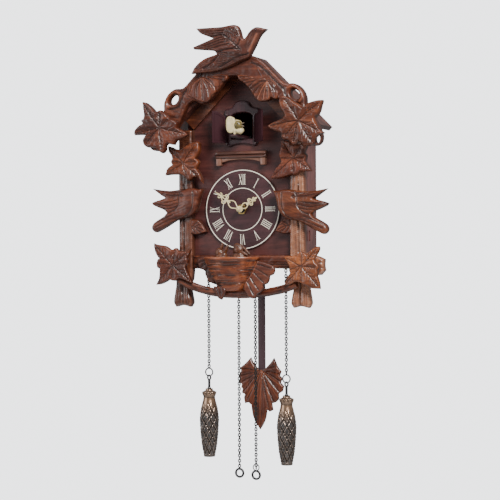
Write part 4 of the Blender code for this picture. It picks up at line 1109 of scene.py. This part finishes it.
def nest(looks):
    """Half a basket: a wall with long knife cuts like straw, a rolled rim and a hollow for the nestlings."""
    shape = bmesh.new()
    cuts, tops = marks(shape)
    profile = [(0.01, -98), (11, -98)]
    profile += [(14.8 + 20 * (step / 40) ** 0.82, -97.6 + 38.4 * step / 40) for step in range(41)]
    profile += trace("35.0,-58.2 34.6,-57.2 33.4,-56.9 32.2,-57.6 31.0,-60 29.0,-64 15,-66 0.01,-66")
    source = random.Random(6)
    straws = []
    for _ in range(46):
        low = source.uniform(-91, -60)
        straws.append((low, source.uniform(0.1, math.pi), source.uniform(0.25, 0.6), source.uniform(-1.2, 1.2)))
    steps = 90
    rings = []
    for index, (radius, z) in enumerate(profile):
        ring = []
        outer = 2 <= index <= 42
        for step in range(steps + 1):
            angle = math.pi * step / steps
            depth = 0.0
            if outer:
                for low, middle, reach, lean in straws:
                    away = (z - low - lean * (angle - middle)) / 0.62
                    along = (angle - middle) / reach
                    depth = max(depth, math.exp(-away * away) * math.exp(-(along**4)))
            rough = noise.noise(Vector((angle * 3, z * 0.16, 2.0)))
            out = radius + (0.5 * rough if outer else 0) - 1.1 * depth
            vert = shape.verts.new(place(-10 + out * math.cos(angle), -88.7 - 0.8 * out * math.sin(angle), z))
            # Painted shade in the straw cuts; painted highlight on the raised bumps and over the rim and hollow.
            vert[cuts] = min(1.0, depth)
            vert[tops] = max(0.0, 0.4 * rough) if outer else 0.3
            ring.append(vert)
        rings.append(ring)
    for first, second in zip(rings, rings[1:]):
        for step in range(steps):
            shape.faces.new((first[step], first[step + 1], second[step + 1], second[step]))
    rim = [edge for edge in shape.edges if len(edge.link_faces) == 1]
    bmesh.ops.triangle_fill(shape, use_beauty=True, edges=rim)
    bmesh.ops.remove_doubles(shape, verts=shape.verts, dist=0.00002)
    outward(shape)
    finish_piece("carved_nest", shape, looks["nest"], "case", "nest")

    down = {
        "left": [
            ((-19, -99, -61), (8, 6.5, 8), None),
            ((-21.4, -100, -53.4), (4.6, 4.2, 5.4), ("Y", 12)),
            ((-18.6, -101, -48.8), (1.7, 2.6, 6.0), ("Y", 16)),
            ((-12.6, -101, -50.8), (1.8, 2.6, 6.4), ("Y", 22)),
            ((-15.8, -100, -56), (4.0, 4.0, 3.4), None),
        ],
        "right": [
            ((4, -99, -60), (9, 7, 9), None),
            ((3.6, -101, -50.6), (6.0, 5.0, 6.0), None),
            ((2.6, -101, -46.6), (4.2, 3.6, 2.6), ("Y", 10)),
            ((13.2, -102, -50.6), (8.4, 2.0, 1.5), ("Y", 46)),
            ((10.6, -102, -53.8), (7.0, 2.0, 1.6), ("Y", 30)),
        ],
    }
    for name, balls in down.items():
        balls = [
            ((x, y, -62 + 1.18 * (z + 62)), tuple(1.15 * value for value in sizes), turn) for (x, y, z), sizes,
            turn in balls
        ]
        skin(f"nestling_{name}", balls, 0.6, looks["nestling"], "case", paint=downy)

    right = trace(
        """
        31,-61.5 40,-63.5 45,-65.2 51,-67.6 53,-72 51.5,-77 46.5,-79.5 46,-84 43,-88.5 38.5,-89.6 38.4,-93.5
        34.6,-98 30.4,-101 28.6,-104.6 25.6,-106 22,-104.6 19.4,-103.4 16.6,-99 14.6,-94 14.8,-90 17,-85.5 20,-81
        24.5,-75 27.5,-68
        """
    )
    folds = traces(
        """
        30,-65.6 38,-67.4 48,-70.5 | 28,-70 36,-74 44.6,-79.6 | 25.5,-74 32,-80.5 39,-87 | 22,-80 27,-88 33,-96 |
        18.5,-86 22.5,-94 26.6,-102
        """
    )
    stem = [trace("32,-62.6 28.6,-69.6 25.4,-76 21,-82 17.4,-87.4 15.8,-91 15.8,-96")]
    groups = [(curves(folds, 1.5), 0.8, 1.0)]
    ridges = [(curves(stem, 1.5), 0.5, 0.5)]
    shape = carve(1.3, 2.0, groups, (), 0.2, 3, 0.35, ridges)
    outline = smooth(right, 0.9, 50)
    relief("carved_nest_leaf_right", outline, -107.5, -110.4, shape, looks["carved"], (), 0.9, "nest_leaf_right")
    left = trace(
        """
        -45.6,-57 -49,-57.4 -52.7,-58 -55,-63.5 -53.4,-67 -51.4,-71 -47.6,-72 -44.3,-74 -44,-78 -42,-82 -41,-84.6
        -38.7,-87 -31,-90 -31,-82 -33,-75 -38,-66
        """
    )
    folds = traces("-44.6,-61 -49,-61.6 -53,-64.6 | -43,-65 -47,-67 -50,-70.4 | -41,-70 -42.4,-74 -42,-80")
    shape = carve(1.2, 2.0, [(curves(folds, 1.5), 0.8, 1.0)], (), 0.2, 3, 0.3)
    outline = smooth(left, 0.9, 50)
    relief("carved_nest_leaf_left", outline, -88.7, -91.4, shape, looks["carved"], (), 0.9, "nest_leaf_left")
    shape = carve(1.2, 2.0, [(traces("-25,-93 -22,-105 | -20,-93 -18.6,-104"), 0.7, 0.8)], (), 0.2, 3, 0.4)
    tip = smooth(trace("-29,-92 -15,-92 -13,-98 -16,-104 -18.6,-108 -21.6,-106.6 -24.8,-103.4 -27,-98"), 0.9, 50)
    relief("nest_tip", tip, -99.0, -101.4, shape, looks["carved"], (), 0.9)


def downy(x, y, z):
    """(rise, darkness, shine) of the nestlings' rough, knife-marked down."""
    rough = noise.noise(Vector((x * 0.45, y * 0.5, z * 0.8)))
    return 0.4 * rough, max(0.0, 0.9 * rough - 0.1), max(0.0, -0.8 * rough)


# ---- Doorway and ledge ----------------------------------------------------------------------------------------


def doorway(looks):
    half = trace("0,79 9,78 17,75.5 21,79.5 22.5,82 22.5,118 21,120.5 13,122.5 7,129")
    outline = half + [(0, 130.5)] + mirrored(half[1:])
    outline = smooth(outline, 1.2, 40)
    arch = [
        (14 * math.cos(math.radians(turn)), 111 + 5.6 * math.sin(math.radians(turn))) for turn in range(0, 181, 12)
    ]
    hole = [(-14, 84.6), (14, 84.6)] + arch

    def shape(points, edge):
        # Painted shade right at the outline and a painted highlight just inside it.
        height = 0.75 * rounded(edge, 1.1)
        edge_highlight = 0.9 * np.clip(1 - abs(edge - 0.5) / 0.5, 0, 1)
        return height, 0.3 * np.clip(1 - edge / 0.3, 0, 1), edge_highlight

    relief(
        "door_frame", outline, FACADE_FRONT, -80.5, shape, looks["dark"], [hole], 1.0, "door_surround",
    )
    for side, sign in (("left", -1), ("right", 1)):
        axis = sign * 18.5
        pins = bmesh.new()
        for level in (78.4, 113.4):
            lathe(
                pins, [(1.5, level - 0.9), (1.7, level - 0.6), (1.7, level + 0.6), (1.5, level + 0.9)],
                (axis, HINGE_Y, 0), 18
            )
            bmesh.ops.create_cube(
                pins, size=MM,
                matrix=Matrix.Translation(place(axis, -81.9, level)) @ Matrix.Diagonal((2.4, 2.6, 1.5, 1))
            )
        lathe(pins, [(0.4, 78), (0.4, 114)], (axis, HINGE_Y, 0), 10)
        finish_piece(f"door_hinge_{side}", pins, looks["dark"], "case")
        shut = trace("0.2,80 17.0,80 17.0,111.8 13,114 7,117.5 3.5,118.3 0.2,118.5")
        shut = [(sign * x, z) for x, z in shut]
        turn = (axis, -83.6, sign * 140)
        slab(
            f"door_leaf_{side}", shut, -82.75, -84.45, looks["door"], 0.35, f"door_{side}", f"door_{side}",
            turn
        )
        inner = trace("2.6,83 14.6,83 14.6,109.6 8,113.8 2.6,115.2")
        inner = [(sign * x, z) for x, z in inner]
        panel = blank()
        for face_y in (-84.5, -82.7):
            # The bead gets a painted highlight.
            sweep(panel, inner, face_y, 0.28, 0.22, 6, closed=True, top=0.5)
        spin = Matrix.Rotation(math.radians(turn[2]), 3, "Z")
        bmesh.ops.rotate(panel, cent=(turn[0] * MM, turn[1] * MM, 0), matrix=spin, verts=panel.verts)
        finish_piece(f"door_bead_{side}", panel, looks["door"], f"door_{side}")
        barrel = bmesh.new()
        lathe(barrel, trace("1.0,80 1.25,80.4 1.25,111.1 1.0,111.5"), (axis, HINGE_Y, 0), 18)
        finish_piece(f"door_barrel_{side}", barrel, looks["door"], f"door_{side}")


def ledge(looks):
    """A small shelf with a two-bead front, two brackets and an arched apron."""
    nose = trace(
        """
        -78.3,61.2 -83.0,61.2 -85.0,61.8 -85.8,63.2 -85.3,64.6 -84.0,65.2 -84.6,65.6 -86.1,66.2 -86.6,67.4
        -86.1,68.8 -84.8,69.4 -78.3,69.5
        """
    )
    shape = bmesh.new()
    cuts, tops = marks(shape)
    rings = []
    for x in [-32.6, -32.0, *range(-30, 31, 2), 32.0, 32.6]:
        end = 1.0 if abs(x) < 32.3 else 0.93
        ring = []
        for y, z in nose:
            rough = 0.18 * noise.noise(Vector((x * 0.15, y * 0.6, z * 0.6)))
            vert = shape.verts.new(
                place(x, FACADE_FRONT + (y - FACADE_FRONT) * end - (rough if y < -79 else 0), 65.3 + (z - 65.3) * end)
            )
            # Painted shade in the groove between the beads, and a painted highlight on the front of the upper bead
            # that grows towards the right.
            vert[cuts] = 0.75 if (y, z) == (-84.0, 65.2) else 0.0
            vert[tops] = max(0.0, min(0.6, 0.02 * (x + 8))) if y < -85.9 else 0.0
            ring.append(vert)
        rings.append(ring)
    join_rings(shape, rings, caps=True)
    outward(shape)
    finish_piece("ledge_shelf", shape, looks["ledge"], "case", "ledge", 40)
    for side, sign in (("left", -1), ("right", 1)):
        foot = [
            (sign * x, z) for x,
            z in ((25.5, 61.2), (31.7, 61.2), (31.4, 53.2), (30.8, 52.6), (26.4, 52.6), (25.7, 53.2))
        ]
        slab(f"ledge_bracket_{side}", foot, FACADE_FRONT, -85.6, looks["bracket"], 0.7)
    arch = trace("26,61.2 26,56.4 22,57.4 16,59.0 8,59.7 0,60")
    apron = mirrored(arch)[::-1] + arch[::-1][1:]
    slab("ledge_apron", apron, FACADE_FRONT, -83.4, looks["bracket"], 0.4)


# ---- Dial and hands -------------------------------------------------------------------------------------------

NUMERALS = ["XII", "I", "II", "III", "IIII", "V", "VI", "VII", "VIII", "IX", "X", "XI"]
STROKES = {
    "I": (2.2, [((0, 0), (0, 1), 0.62)]),
    "V": (4.6, [((-1.7, 1), (0.05, 0), 0.66), ((1.8, 1), (0.0, 0), 0.3)]),
    "X": (4.4, [((-1.6, 1), (1.6, 0), 0.64), ((1.6, 1), (-1.6, 0), 0.3)]),
}
SERIFS = {"I": [(0, 0, 1.15), (0, 1, 1.15)], "V": [(-1.7, 1, 1.0), (1.8, 1, 0.9)]}
SERIFS["X"] = [(-1.6, 1, 0.9), (1.6, 1, 0.9), (-1.6, 0, 0.9), (1.6, 0, 0.9)]


def dial_print(looks):
    """Rings and Roman numerals whose feet point to the centre, as a print that stands just proud of the face."""
    shape = bmesh.new()
    for radius, wide in ((47.1, 0.52), (25.4, 0.48)):
        sweep(shape, circle((0, 0), radius, 120), -80.06, wide, 0.12, 8, closed=True)
    low, high = 29.6, 42.2
    for index, numeral in enumerate(NUMERALS):
        turn = math.radians(90 - 30 * index)
        up = Vector((math.cos(turn), math.sin(turn)))
        across = Vector((up.y, -up.x))
        total = sum(STROKES[letter][0] for letter in numeral)
        at = -total / 2
        for letter in numeral:
            width, strokes = STROKES[letter]
            middle = at + width / 2
            at += width

            def spot(x, share):
                point = across * (middle + x) + up * (low + (high - low) * share)
                return (point.x, point.y)

            for start, end, half in strokes:
                sweep(shape, [spot(*start), spot(*end)], -80.08, 0.8 * half, 0.12, 4)
            for x, share, half in SERIFS[letter]:
                inward = 0.02 if share == 0 else 0.98
                sweep(shape, [spot(x - half, inward), spot(x + half, inward)], -80.08, 0.24, 0.12, 4)
    finish_piece("dial_numerals", shape, looks["print"], "case")


def hands(looks):
    """Fretted hands in the cuckoo-clock manner: an open loop, a scrolled cross and a leafy tip."""
    for name, length, y, angle, weight, hub in (
        ("minute_hand", 38.5, -90.95, 55.4, 0.62, 3.5),
        ("hour_hand", 28.5, -88.25, -58.0, 0.66, 3.8),
    ):
        k = length / 38.5
        shape = bmesh.new()
        lines = []
        for sign in (-1, 1):
            loop = [
                (0.9, hub * 0.8), (3.0, 6.6), (4.3, 9.6), (3.6, 13.0), (1.6, 16.0), (0.7, 18.6), (2.4, 20.6),
                (3.4, 23.2), (2.2, 25.6), (0.4, 27.0)
            ]
            lines.append([(sign * x * k, z * k if z > hub else z) for x, z in loop])
            scroll = trace("0.8,19.8 3.2,19.0 5.4,20.2 5.8,22.4 4.6,23.8 3.4,23.0 3.8,21.6")
            lines.append([(sign * x * k, z * k) for x, z in scroll])
            barb = trace("0.3,27.4 2.0,28.0 3.2,29.8 2.6,31.0")
            lines.append([(sign * x * k, z * k) for x, z in barb])
        lines.append([(0, 15.6 * k), (0, 22 * k), (0, 38.3 * k)])
        spin = Matrix.Rotation(math.radians(angle), 2)
        for number, line in enumerate(lines):
            line = [tuple(spin @ Vector(point)) for point in smooth(line, 0.8, closed=False)]
            last = number == len(lines) - 1
            sweep(shape, line, y, weight * (1.35 if last else 1.0), 0.42, 8, taper=stem_taper if last else None)
        for radius, wide in ((hub - 0.9, 0.95), (hub * 0.5, 0.9)):
            sweep(shape, circle((0, 0), radius, 40), y, wide, 0.42, 8, closed=True)
        bead = tuple(spin @ Vector((0, 14.8 * k)))
        lathe(shape, trace("0.01,-0.55 0.9,-0.4 1.2,0 0.9,0.4 0.01,0.55"), (bead[0], y, bead[1]), 14, "Y")
        outward(shape)
        finish_piece(f"fretted_{name}", shape, looks["ivory"], "minute" if name[0] == "m" else "hour", name)
    nut = bmesh.new()
    lathe(nut, trace("0.01,0.6 0.7,0.6 0.9,0.1 1.9,0.5 2.4,1.4 2.4,2.8 2.0,3.2 0.01,3.2"), (0, -94.8, 0), 24, "Y")
    finish_piece("hand_cap_nut", nut, looks["ivory"], "minute", "hand_nut")


def stem_taper(t):
    """A slim stem that swells into a blade and ends in a point."""
    blade = math.exp(-(((t - 0.72) / 0.13) ** 2))
    return max(0.12, (0.75 + 0.9 * blade) * (1 if t < 0.8 else 1 - (t - 0.8) / 0.21))


# ---- Cuckoo ---------------------------------------------------------------------------------------------------


def cuckoo(looks):
    """A moulded bird turned to its left: a cream body, two raised wing plates, an olive head and a short beak."""
    body = [
        ((1.0, -96, 93.6), (8.4, 6.2, 5.0), None), ((4.4, -98, 92.9), (5.0, 4.8, 4.2), None),
        ((-1.0, -98.4, 93.4), (4.4, 4.0, 4.6), None), ((-7.5, -95, 95.2), (4.8, 3.2, 2.2), ("Y", 12)),
        ((2.6, -96.5, 96.0), (4.2, 3.8, 3.4), None), ((-0.6, -100.2, 90.6), (1.5, 1.5, 3.0), ("Y", 14)),
        ((3.2, -93.5, 90.6), (1.5, 1.5, 2.6), ("Y", 14))
    ]
    skin("cuckoo_body", body, 0.45, looks["ivory"], "bird", "cuckoo", moulded_breast)
    plate = trace(
        """
        -11.4,97 -11.6,102.1 -11.2,106.4 -9.4,109.4 -6.4,110.2 -3.4,109.4 -0.6,107.4 0.4,103.5 0.2,98 -0.6,93.6
        -2.6,90.8 -6.2,90 -9.2,91.6 -10.8,94
        """
    )
    for side, y, across, rise in (("near", -101.4, 0.0, 0.0), ("far", -90.4, 4.2, -3.2)):
        outline = smooth([(x + across, z + rise) for x, z in plate], 0.9)
        ribs = traces("-9.6,94.6 -10.0,101 -9.2,107 | -6.8,109 -6.5,107.4 | -3.9,108.4 -3.8,107")
        ribs = [[(x + across, z + rise) for x, z in line] for line in ribs]
        shape = carve(1.0, 1.5, [(curves(ribs, 1), 0.4, 0.5)], (), 0.05, 2, 0.2)
        relief(
            f"cuckoo_wing_{side}", outline, y + 1.3, y - 0.6, shape, looks["ivory"], (), 0.8, None, "bird"
        )
    eye = blank()
    lathe(eye, [(0.01, 0.35), (0.6, 0.2), (0.75, -0.4)], (5.2, -104.2, 101.0), 12, "Y")
    finish_piece("cuckoo_eye", eye, looks["black_wire"], "bird")
    head = [((3.4, -99.6, 99.6), (5.3, 5.0, 5.1), None), ((3.0, -99.2, 97.8), (4.8, 4.4, 4.2), None)]
    skin("cuckoo_head", head, 0.4, looks["olive"], "bird")
    beak = blank()
    for high, tip in ((100.8, 102.2), (98.6, 97.8)):
        rings = []
        for step in range(9):
            t = step / 8
            wide, tall = 2.2 * (1 - t) ** 0.8 + 0.12, 1.3 * (1 - t) ** 0.7 + 0.1
            z = high + (tip - high) * t
            ring = []
            for turn in range(12):
                angle = math.radians(30 * turn)
                point = place(7.2 + 4.4 * t, -99.2 - 0.8 * t + wide * math.cos(angle), z + tall * math.sin(angle))
                ring.append(beak.verts.new(point))
            rings.append(ring)
        join_rings(beak, rings, caps=True)
    outward(beak)
    finish_piece("cuckoo_beak", beak, looks["beak"], "bird")


def moulded_breast(x, y, z):
    """Rows of shallow moulded feathers on the cuckoo's body, with painted shade in their dips."""
    rows = math.sin(1.5 * y) * math.sin(1.3 * x + 0.8 * y)
    return 0.12 * rows, max(0.0, -0.5 * rows - 0.15), 0.0


# ---- Pendulum -------------------------------------------------------------------------------------------------

PENDULUM_LEAF = trace(
    """
    -2,-197 -8.5,-191 -13.1,-181.7 -17.6,-186.4 -22.6,-191 -27,-194.2 -26.6,-199 -28.9,-204.5 -27.4,-208.5
    -28.4,-213 -25.4,-214.8 -26.2,-219 -24.2,-221 -25.6,-225.5 -21.4,-227.6 -22.6,-231.6 -21.2,-238.8 -16.6,-237.6
    -12.9,-240.3 -12.2,-245.4 -10.6,-253.8 -6.7,-261.9 -1.3,-270.5 2.6,-264.6 6.2,-256.6 8.2,-245.5 11.4,-248.2
    16,-246 14.6,-237.8 19.6,-236.2 23.6,-232.4 23.4,-225.6 28.6,-222.6 30.4,-216.4 26.2,-212 28.6,-206.4 25,-203.6
    27,-198.2 22.2,-192.2 19.9,-186.8 17.5,-181.8 13.9,-186.8 9.6,-191.4 5,-195.6
    """
)


def pendulum(looks):
    """A vine leaf whose veins fan out from under the rod, with fluted lobes and a serrated edge."""
    hub = (0.5, -197)
    tips = trace(
        """
        -13,-183.5 -20,-190 -26,-195.6 -26.5,-201 -28,-205 -26,-212 -27,-213 -25,-219 -24.6,-225 -21.4,-231
        -20.4,-237.6 -13,-239 -11,-248 -5,-258 -1.2,-268 4,-255 10.8,-246.6 15.2,-245 17,-236 22.6,-232 25,-224
        29.4,-217 26,-210 27.4,-206 24.4,-201 25.8,-197.6 21.4,-191 17.2,-183.6
        """
    )
    main = [wandering(hub, tip, 0.7, number, 14) for number, tip in enumerate(tips) if number % 2 == 0]
    minor = [wandering(hub, tip, 0.7, number, 14)[4:] for number, tip in enumerate(tips) if number % 2]
    pale = [
        wandering(hub, (-1.2, -267), 0.9, 39, 16), wandering(hub, (15, -243), 0.8, 40, 14),
        wandering(hub, (22.6, -230), 0.8, 41, 14), wandering(hub, (29, -217), 0.6, 42, 14)
    ]
    pale.append(wandering(hub, (-20.4, -236), 0.8, 43, 14))
    edge_line = smooth(PENDULUM_LEAF, 1.0, 36)

    def shape(points, edge):
        away = distance(points, main)
        flute = 0.85 * (1 - np.exp(-((away / 1.7) ** 2)))
        depth, dark = grooved(points, [(main, 0.62, 0.9), (minor, 0.45, 0.35)])
        ridge = np.exp(-((distance(points, pale) / 0.42) ** 2))
        height = (0.9 + flute) * rounded(edge, 3.0) - depth * np.clip(edge / 1.5, 0, 1) + 0.35 * ridge
        rough = unevenness(points, 0.2, 0.2, 3.0)
        # Painted shade in the veins and along the outline; painted highlights on the raised pale veins and just inside
        # the edge.
        painted_shade = np.maximum(dark * 0.8, 0.6 * np.clip(1 - edge / 0.6, 0, 1)) * (1 - ridge)
        highlight_and_rubbing = np.maximum(0.95 * ridge, 0.45 * np.clip(1 - abs(edge - 1.4) / 0.8, 0, 1) * (0.5 + rough))
        return height + 0.15 * rough, painted_shade, highlight_and_rubbing

    relief(
        "carved_pendulum_leaf", edge_line, -21.8, -23.9, shape, looks["leaf"], (), 1.0, "pendulum_leaf", "pendulum"
    )
    rod = [(-4.7, -212), (4.7, -212)] + [
        (4.7 * math.cos(math.radians(turn)), 20 + 4.7 * math.sin(math.radians(turn))) for turn in range(0, 181, 15)
    ]
    slab("pendulum_bar", rod, -18.5, -21.5, looks["rod"], 0.5, "pendulum", "pendulum_rod")


# ---- Chains, weights and rings --------------------------------------------------------------------------------

WEIGHT_PROFILE = trace(
    """
    0,0 4.4,0 4.6,-2.2 8.6,-4.2 8.4,-6.5 7.0,-10.3 7.4,-13 9.8,-22.5 11.6,-35.5 11.0,-50.5 9.4,-67 6.4,-83 0,-83.4
    """
)
CHAIN_TOP, CHAIN_Y = -71.6, -67.0


def chain(name, x, end, looks, seed):
    """Oval links, each a quarter turn from the next, from the hole under the case to the ring."""
    top = CHAIN_TOP - 0.3
    pitch, thick = 3.1, 0.72
    count = max(2, round((top - end - 0.8) / pitch))
    pitch = (top - end - 0.9) / count
    source = random.Random(seed)
    shape = blank()
    half, side = (pitch + 2.1) / 2 - thick, 2.0 - thick
    outline = []
    for step in range(16):
        angle = 2 * math.pi * step / 16
        out = side * math.copysign(abs(math.cos(angle)) ** 0.6, math.cos(angle))
        up = half * math.copysign(abs(math.sin(angle)) ** 0.9, math.sin(angle))
        outline.append((out, up))
    for number in range(count):
        middle = top - 0.45 - pitch * (number + 0.5)
        turn = math.radians(28 + 90 * (number % 2) + source.uniform(-9, 9))
        spin = Matrix.Rotation(turn, 3, "Z")
        rings = []
        for index, (out, up) in enumerate(outline):
            before, after = outline[index - 1], outline[(index + 1) % len(outline)]
            along = Vector((after[0] - before[0], 0, after[1] - before[1])).normalized()
            normal = Vector((along.z, 0, -along.x))
            ring = []
            for corner in range(6):
                angle = math.radians(60 * corner)
                local = Vector((out, 0, up)) + normal * (thick * math.cos(angle))
                local = spin @ (local + Vector((0, thick * math.sin(angle), 0)))
                ring.append(shape.verts.new(place(x + local.x, CHAIN_Y + local.y, middle + local.z)))
            rings.append(ring)
        join_rings(shape, rings + rings[:1])
    outward(shape)
    piece = finish_piece(name + "_links", shape, looks["steel"], name, name, 80)


def wire_ring(name, centre, radius, thick, look, body, replaces=None, sides=32):
    """A ring of steel wire that hangs in the plane of the dial."""
    shape = blank()
    sweep(shape, circle((centre[0], centre[2]), radius, sides), centre[1], thick, thick, 10, closed=True)
    outward(shape)
    return finish_piece(name, shape, look, body, replaces)


def weights_and_chains(looks):
    for side, sign, ring_z, pull_z, pull_end in (
        ("left", -1, -197.5, -318.5, -312.0),
        ("right", 1, -203.0, -320.0, -313.0),
    ):
        x = sign * 50.5
        cap = ring_z - 20.0
        shape = bmesh.new()
        profile = fine_profile(WEIGHT_PROFILE)
        lathe(shape, profile, (x, CHAIN_Y, cap), 120, "Z", pine_scales)
        finish_piece(f"pine_weight_{side}", shape, looks["bronze"], f"weight_{side}", f"weight_{side}", 70)
        hook = blank()
        stem = [(x, ring_z - 8.6), (x, cap - 0.5)]
        sweep(hook, stem, CHAIN_Y, 1.6, 1.6, 10)
        eye = ellipse((x, ring_z - 6.5), 1.9, 2.6, 0, 24)
        sweep(hook, eye, CHAIN_Y, 1.05, 1.05, 8, closed=True)
        lathe(hook, trace("0.01,1.4 1.8,1.2 2.3,0.4 2.3,-0.4 0.01,-0.6"), (x, CHAIN_Y, cap + 0.5), 20)
        outward(hook)
        hook_piece = finish_piece(f"weight_hook_{side}", hook, looks["black_wire"], f"weight_{side}")
        loop_piece = wire_ring(
            f"weight_ring_{side}", (x, CHAIN_Y, ring_z), 4.7, 0.85, looks["nickel"], f"weight_{side}"
        )
        end = ring_z + 4.2 + 0.7 + 0.3
        chain(f"weight_chain_{side}", x, end, looks, 3 + sign)

        x = sign * 10.8
        body = f"pull_ring_{side}"
        pull = wire_ring(f"pull_loop_{side}", (x, CHAIN_Y, pull_z), 4.85, 1.4, looks["black_wire"], body, body, 40)
        if side == "right":
            wire_ring("pull_split_ring", (x, CHAIN_Y, pull_z + 9.2), 3.8, 0.65, looks["nickel"], body)
        chain(f"pull_chain_{side}", x, pull_end, looks, 7 + sign)
        for across in (sign * 50.5, x):
            bush = blank()
            edge = trace("2.2,-71.35 2.6,-71.05 3.4,-71.05 3.6,-71.3 3.2,-71.6 2.4,-71.6")
            lathe(bush, edge, (across, CHAIN_Y, 0), 24)
            finish_piece(
                f"chain_bush_{'weight' if abs(across) > 20 else 'pull'}_{side}", bush, looks["brass"], "case",
            )


def fine_profile(profile):
    """The weight's outline, close enough together for its pattern."""
    line = [profile[0]]
    for (r0, z0), (r1, z1) in zip(profile, profile[1:]):
        parts = max(1, round(math.hypot(r1 - r0, z1 - z0) / 0.75))
        line += [(r0 + (r1 - r0) * part / parts, z0 + (z1 - z0) * part / parts) for part in range(1, parts + 1)]
    return line


def pine_scales(angle, offset):
    """(rise, painted shade, paleness) of a pine-cone weight: crossing cuts below a smooth shoulder and a petalled
    collar. The cuts and the neck under the collar get painted shade, the cut edges a painted highlight; shoulder and
    collar are paler.
    """
    if offset > -11:
        petal = 0.45 * math.cos(10 * angle) if -7.2 < offset < -2.4 else 0.0
        return petal, 0.3 if offset < -8 else 0.0, 0.55 + 0.4 * petal
    fade = max(0.0, min(1.0, (-offset - 15) / 12))
    turns, climb = 8 * angle / (2 * math.pi), (offset + 13) / 14.5
    first, second = (0.5 - abs((turns + way * climb) % 1 - 0.5) for way in (1, -1))
    cut = max(math.exp(-((gap / 0.085) ** 2)) for gap in (first, second)) * fade
    lip = max(math.exp(-(((gap - 0.16) / 0.05) ** 2)) for gap in (first, second)) * fade
    bulge = math.sin(math.pi * min(1, 2 * first)) * math.sin(math.pi * min(1, 2 * second)) * fade
    shoulder = max(0.0, 1 - (-offset - 11) / 21)
    if offset < -80:
        cut *= 0.2
    # Painted shade in the cuts; painted highlight along their edges, added to the paler shoulder.
    return 0.45 * bulge - 0.9 * cut, min(1.0, cut), min(1.0, 0.9 * shoulder + 0.4 * lip * (1 - cut))


# ---- Finish of the CAD nodes, light and floor -----------------------------------------------------------------

NODE_LOOKS = {
    "facade": "facade",
    "side_panel_left": "side",
    "side_panel_right": "side",
    "bottom_panel": "side",
    "back_panel": "side",
    "back_door": "side",
    "roof_left": "roof",
    "roof_right": "roof",
    "roof_batten_left": "batten",
    "roof_batten_right": "batten",
    "dial": "dial",
    "bird_carriage": "dark",
    "pendulum_rod": "rod",
    "movement_nut": "brass",
    "minute_arbor": "brass",
    "hour_wheel": "brass",
    "motion_wheel": "brass",
    "drive_pinion": "brass",
    "battery": "cell",
}


def dress_nodes(looks):
    """Every CAD solid that stays in view gets its finish; what isn't named is black plastic."""
    for name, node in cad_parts.items():
        piece = bpy.data.objects.get(node) if isinstance(node, str) else node
        if piece is None or piece.hide_render:
            continue
        look = looks[NODE_LOOKS.get(name, "plastic")]
        if piece.material_slots:
            for slot in piece.material_slots:
                slot.material = look
        else:
            piece.data.materials.append(look)


def area_light(name, at, target, size, power, colour):
    data = bpy.data.lights.new(name, "AREA")
    data.shape = "RECTANGLE"
    data.size, data.size_y = size
    data.energy = power
    data.color = colour
    light = add_object(name, data)
    light.location = at
    light.rotation_euler = (Vector(target) - Vector(at)).to_track_quat("-Z", "Y").to_euler()


def light_scene():
    """Soft daylight from the right and in front. What the camera sees behind the clock is paler than its light."""
    world = bpy.data.worlds.new("studio")
    world.use_nodes = True
    tree = world.node_tree
    output = next(node for node in tree.nodes if node.type == "OUTPUT_WORLD")
    shades = []
    for strength in (0.34, 3.2):
        shade = tree.nodes.new("ShaderNodeBackground")
        shade.inputs["Color"].default_value = (0.93, 0.945, 0.97, 1)
        shade.inputs["Strength"].default_value = strength
        shades.append(shade)
    seen = tree.nodes.new("ShaderNodeLightPath")
    mixed = tree.nodes.new("ShaderNodeMixShader")
    tree.links.new(seen.outputs["Is Camera Ray"], mixed.inputs[0])
    for index, shade in enumerate(shades):
        tree.links.new(shade.outputs["Background"], mixed.inputs[index + 1])
    tree.links.new(mixed.outputs["Shader"], output.inputs["Surface"])
    bpy.context.scene.world = world
    area_light("key", (1.3, -1.5, 1.0), (0, -0.1, -0.05), (0.7, 0.7), 66, (1.0, 0.97, 0.94))
    area_light("fill", (-1.5, -1.4, 0.1), (0, -0.1, -0.1), (1.2, 1.2), 13, (0.94, 0.97, 1.0))
    area_light("top", (0.1, -0.7, 1.5), (0, -0.1, 0), (1.0, 0.5), 15, (1, 1, 1))
    floor = bpy.data.meshes.new("floor")
    floor.from_pydata(
        [(-0.6, -0.6, -0.715), (0.6, -0.6, -0.715), (0.6, 0.5, -0.715), (-0.6, 0.5, -0.715)], [], [(0, 1, 2, 3)]
    )
    paint = Surface("floor_paint", 0.7)
    paint.colour(
        paint.ramp(paint.noise(paint.coordinates, 6.0), [(0.3, (0.70, 0.71, 0.72)), (0.7, (0.76, 0.77, 0.78))])
    )
    floor.materials.append(paint.material)
    stage = add_object("floor", floor)


def write_sizes():
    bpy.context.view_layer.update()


def main():
    make_camera()
    looks = make_materials()
    weights_and_chains(looks)
    roof_carving(looks)
    slope_leaves(looks)
    top_bird(looks)
    side_birds(looks)
    posts(looks)
    leaves(looks)
    branch(looks)
    nest(looks)
    doorway(looks)
    ledge(looks)
    dial_print(looks)
    hands(looks)
    cuckoo(looks)
    pendulum(looks)
    dress_nodes(looks)
    light_scene()
    write_sizes()


main()
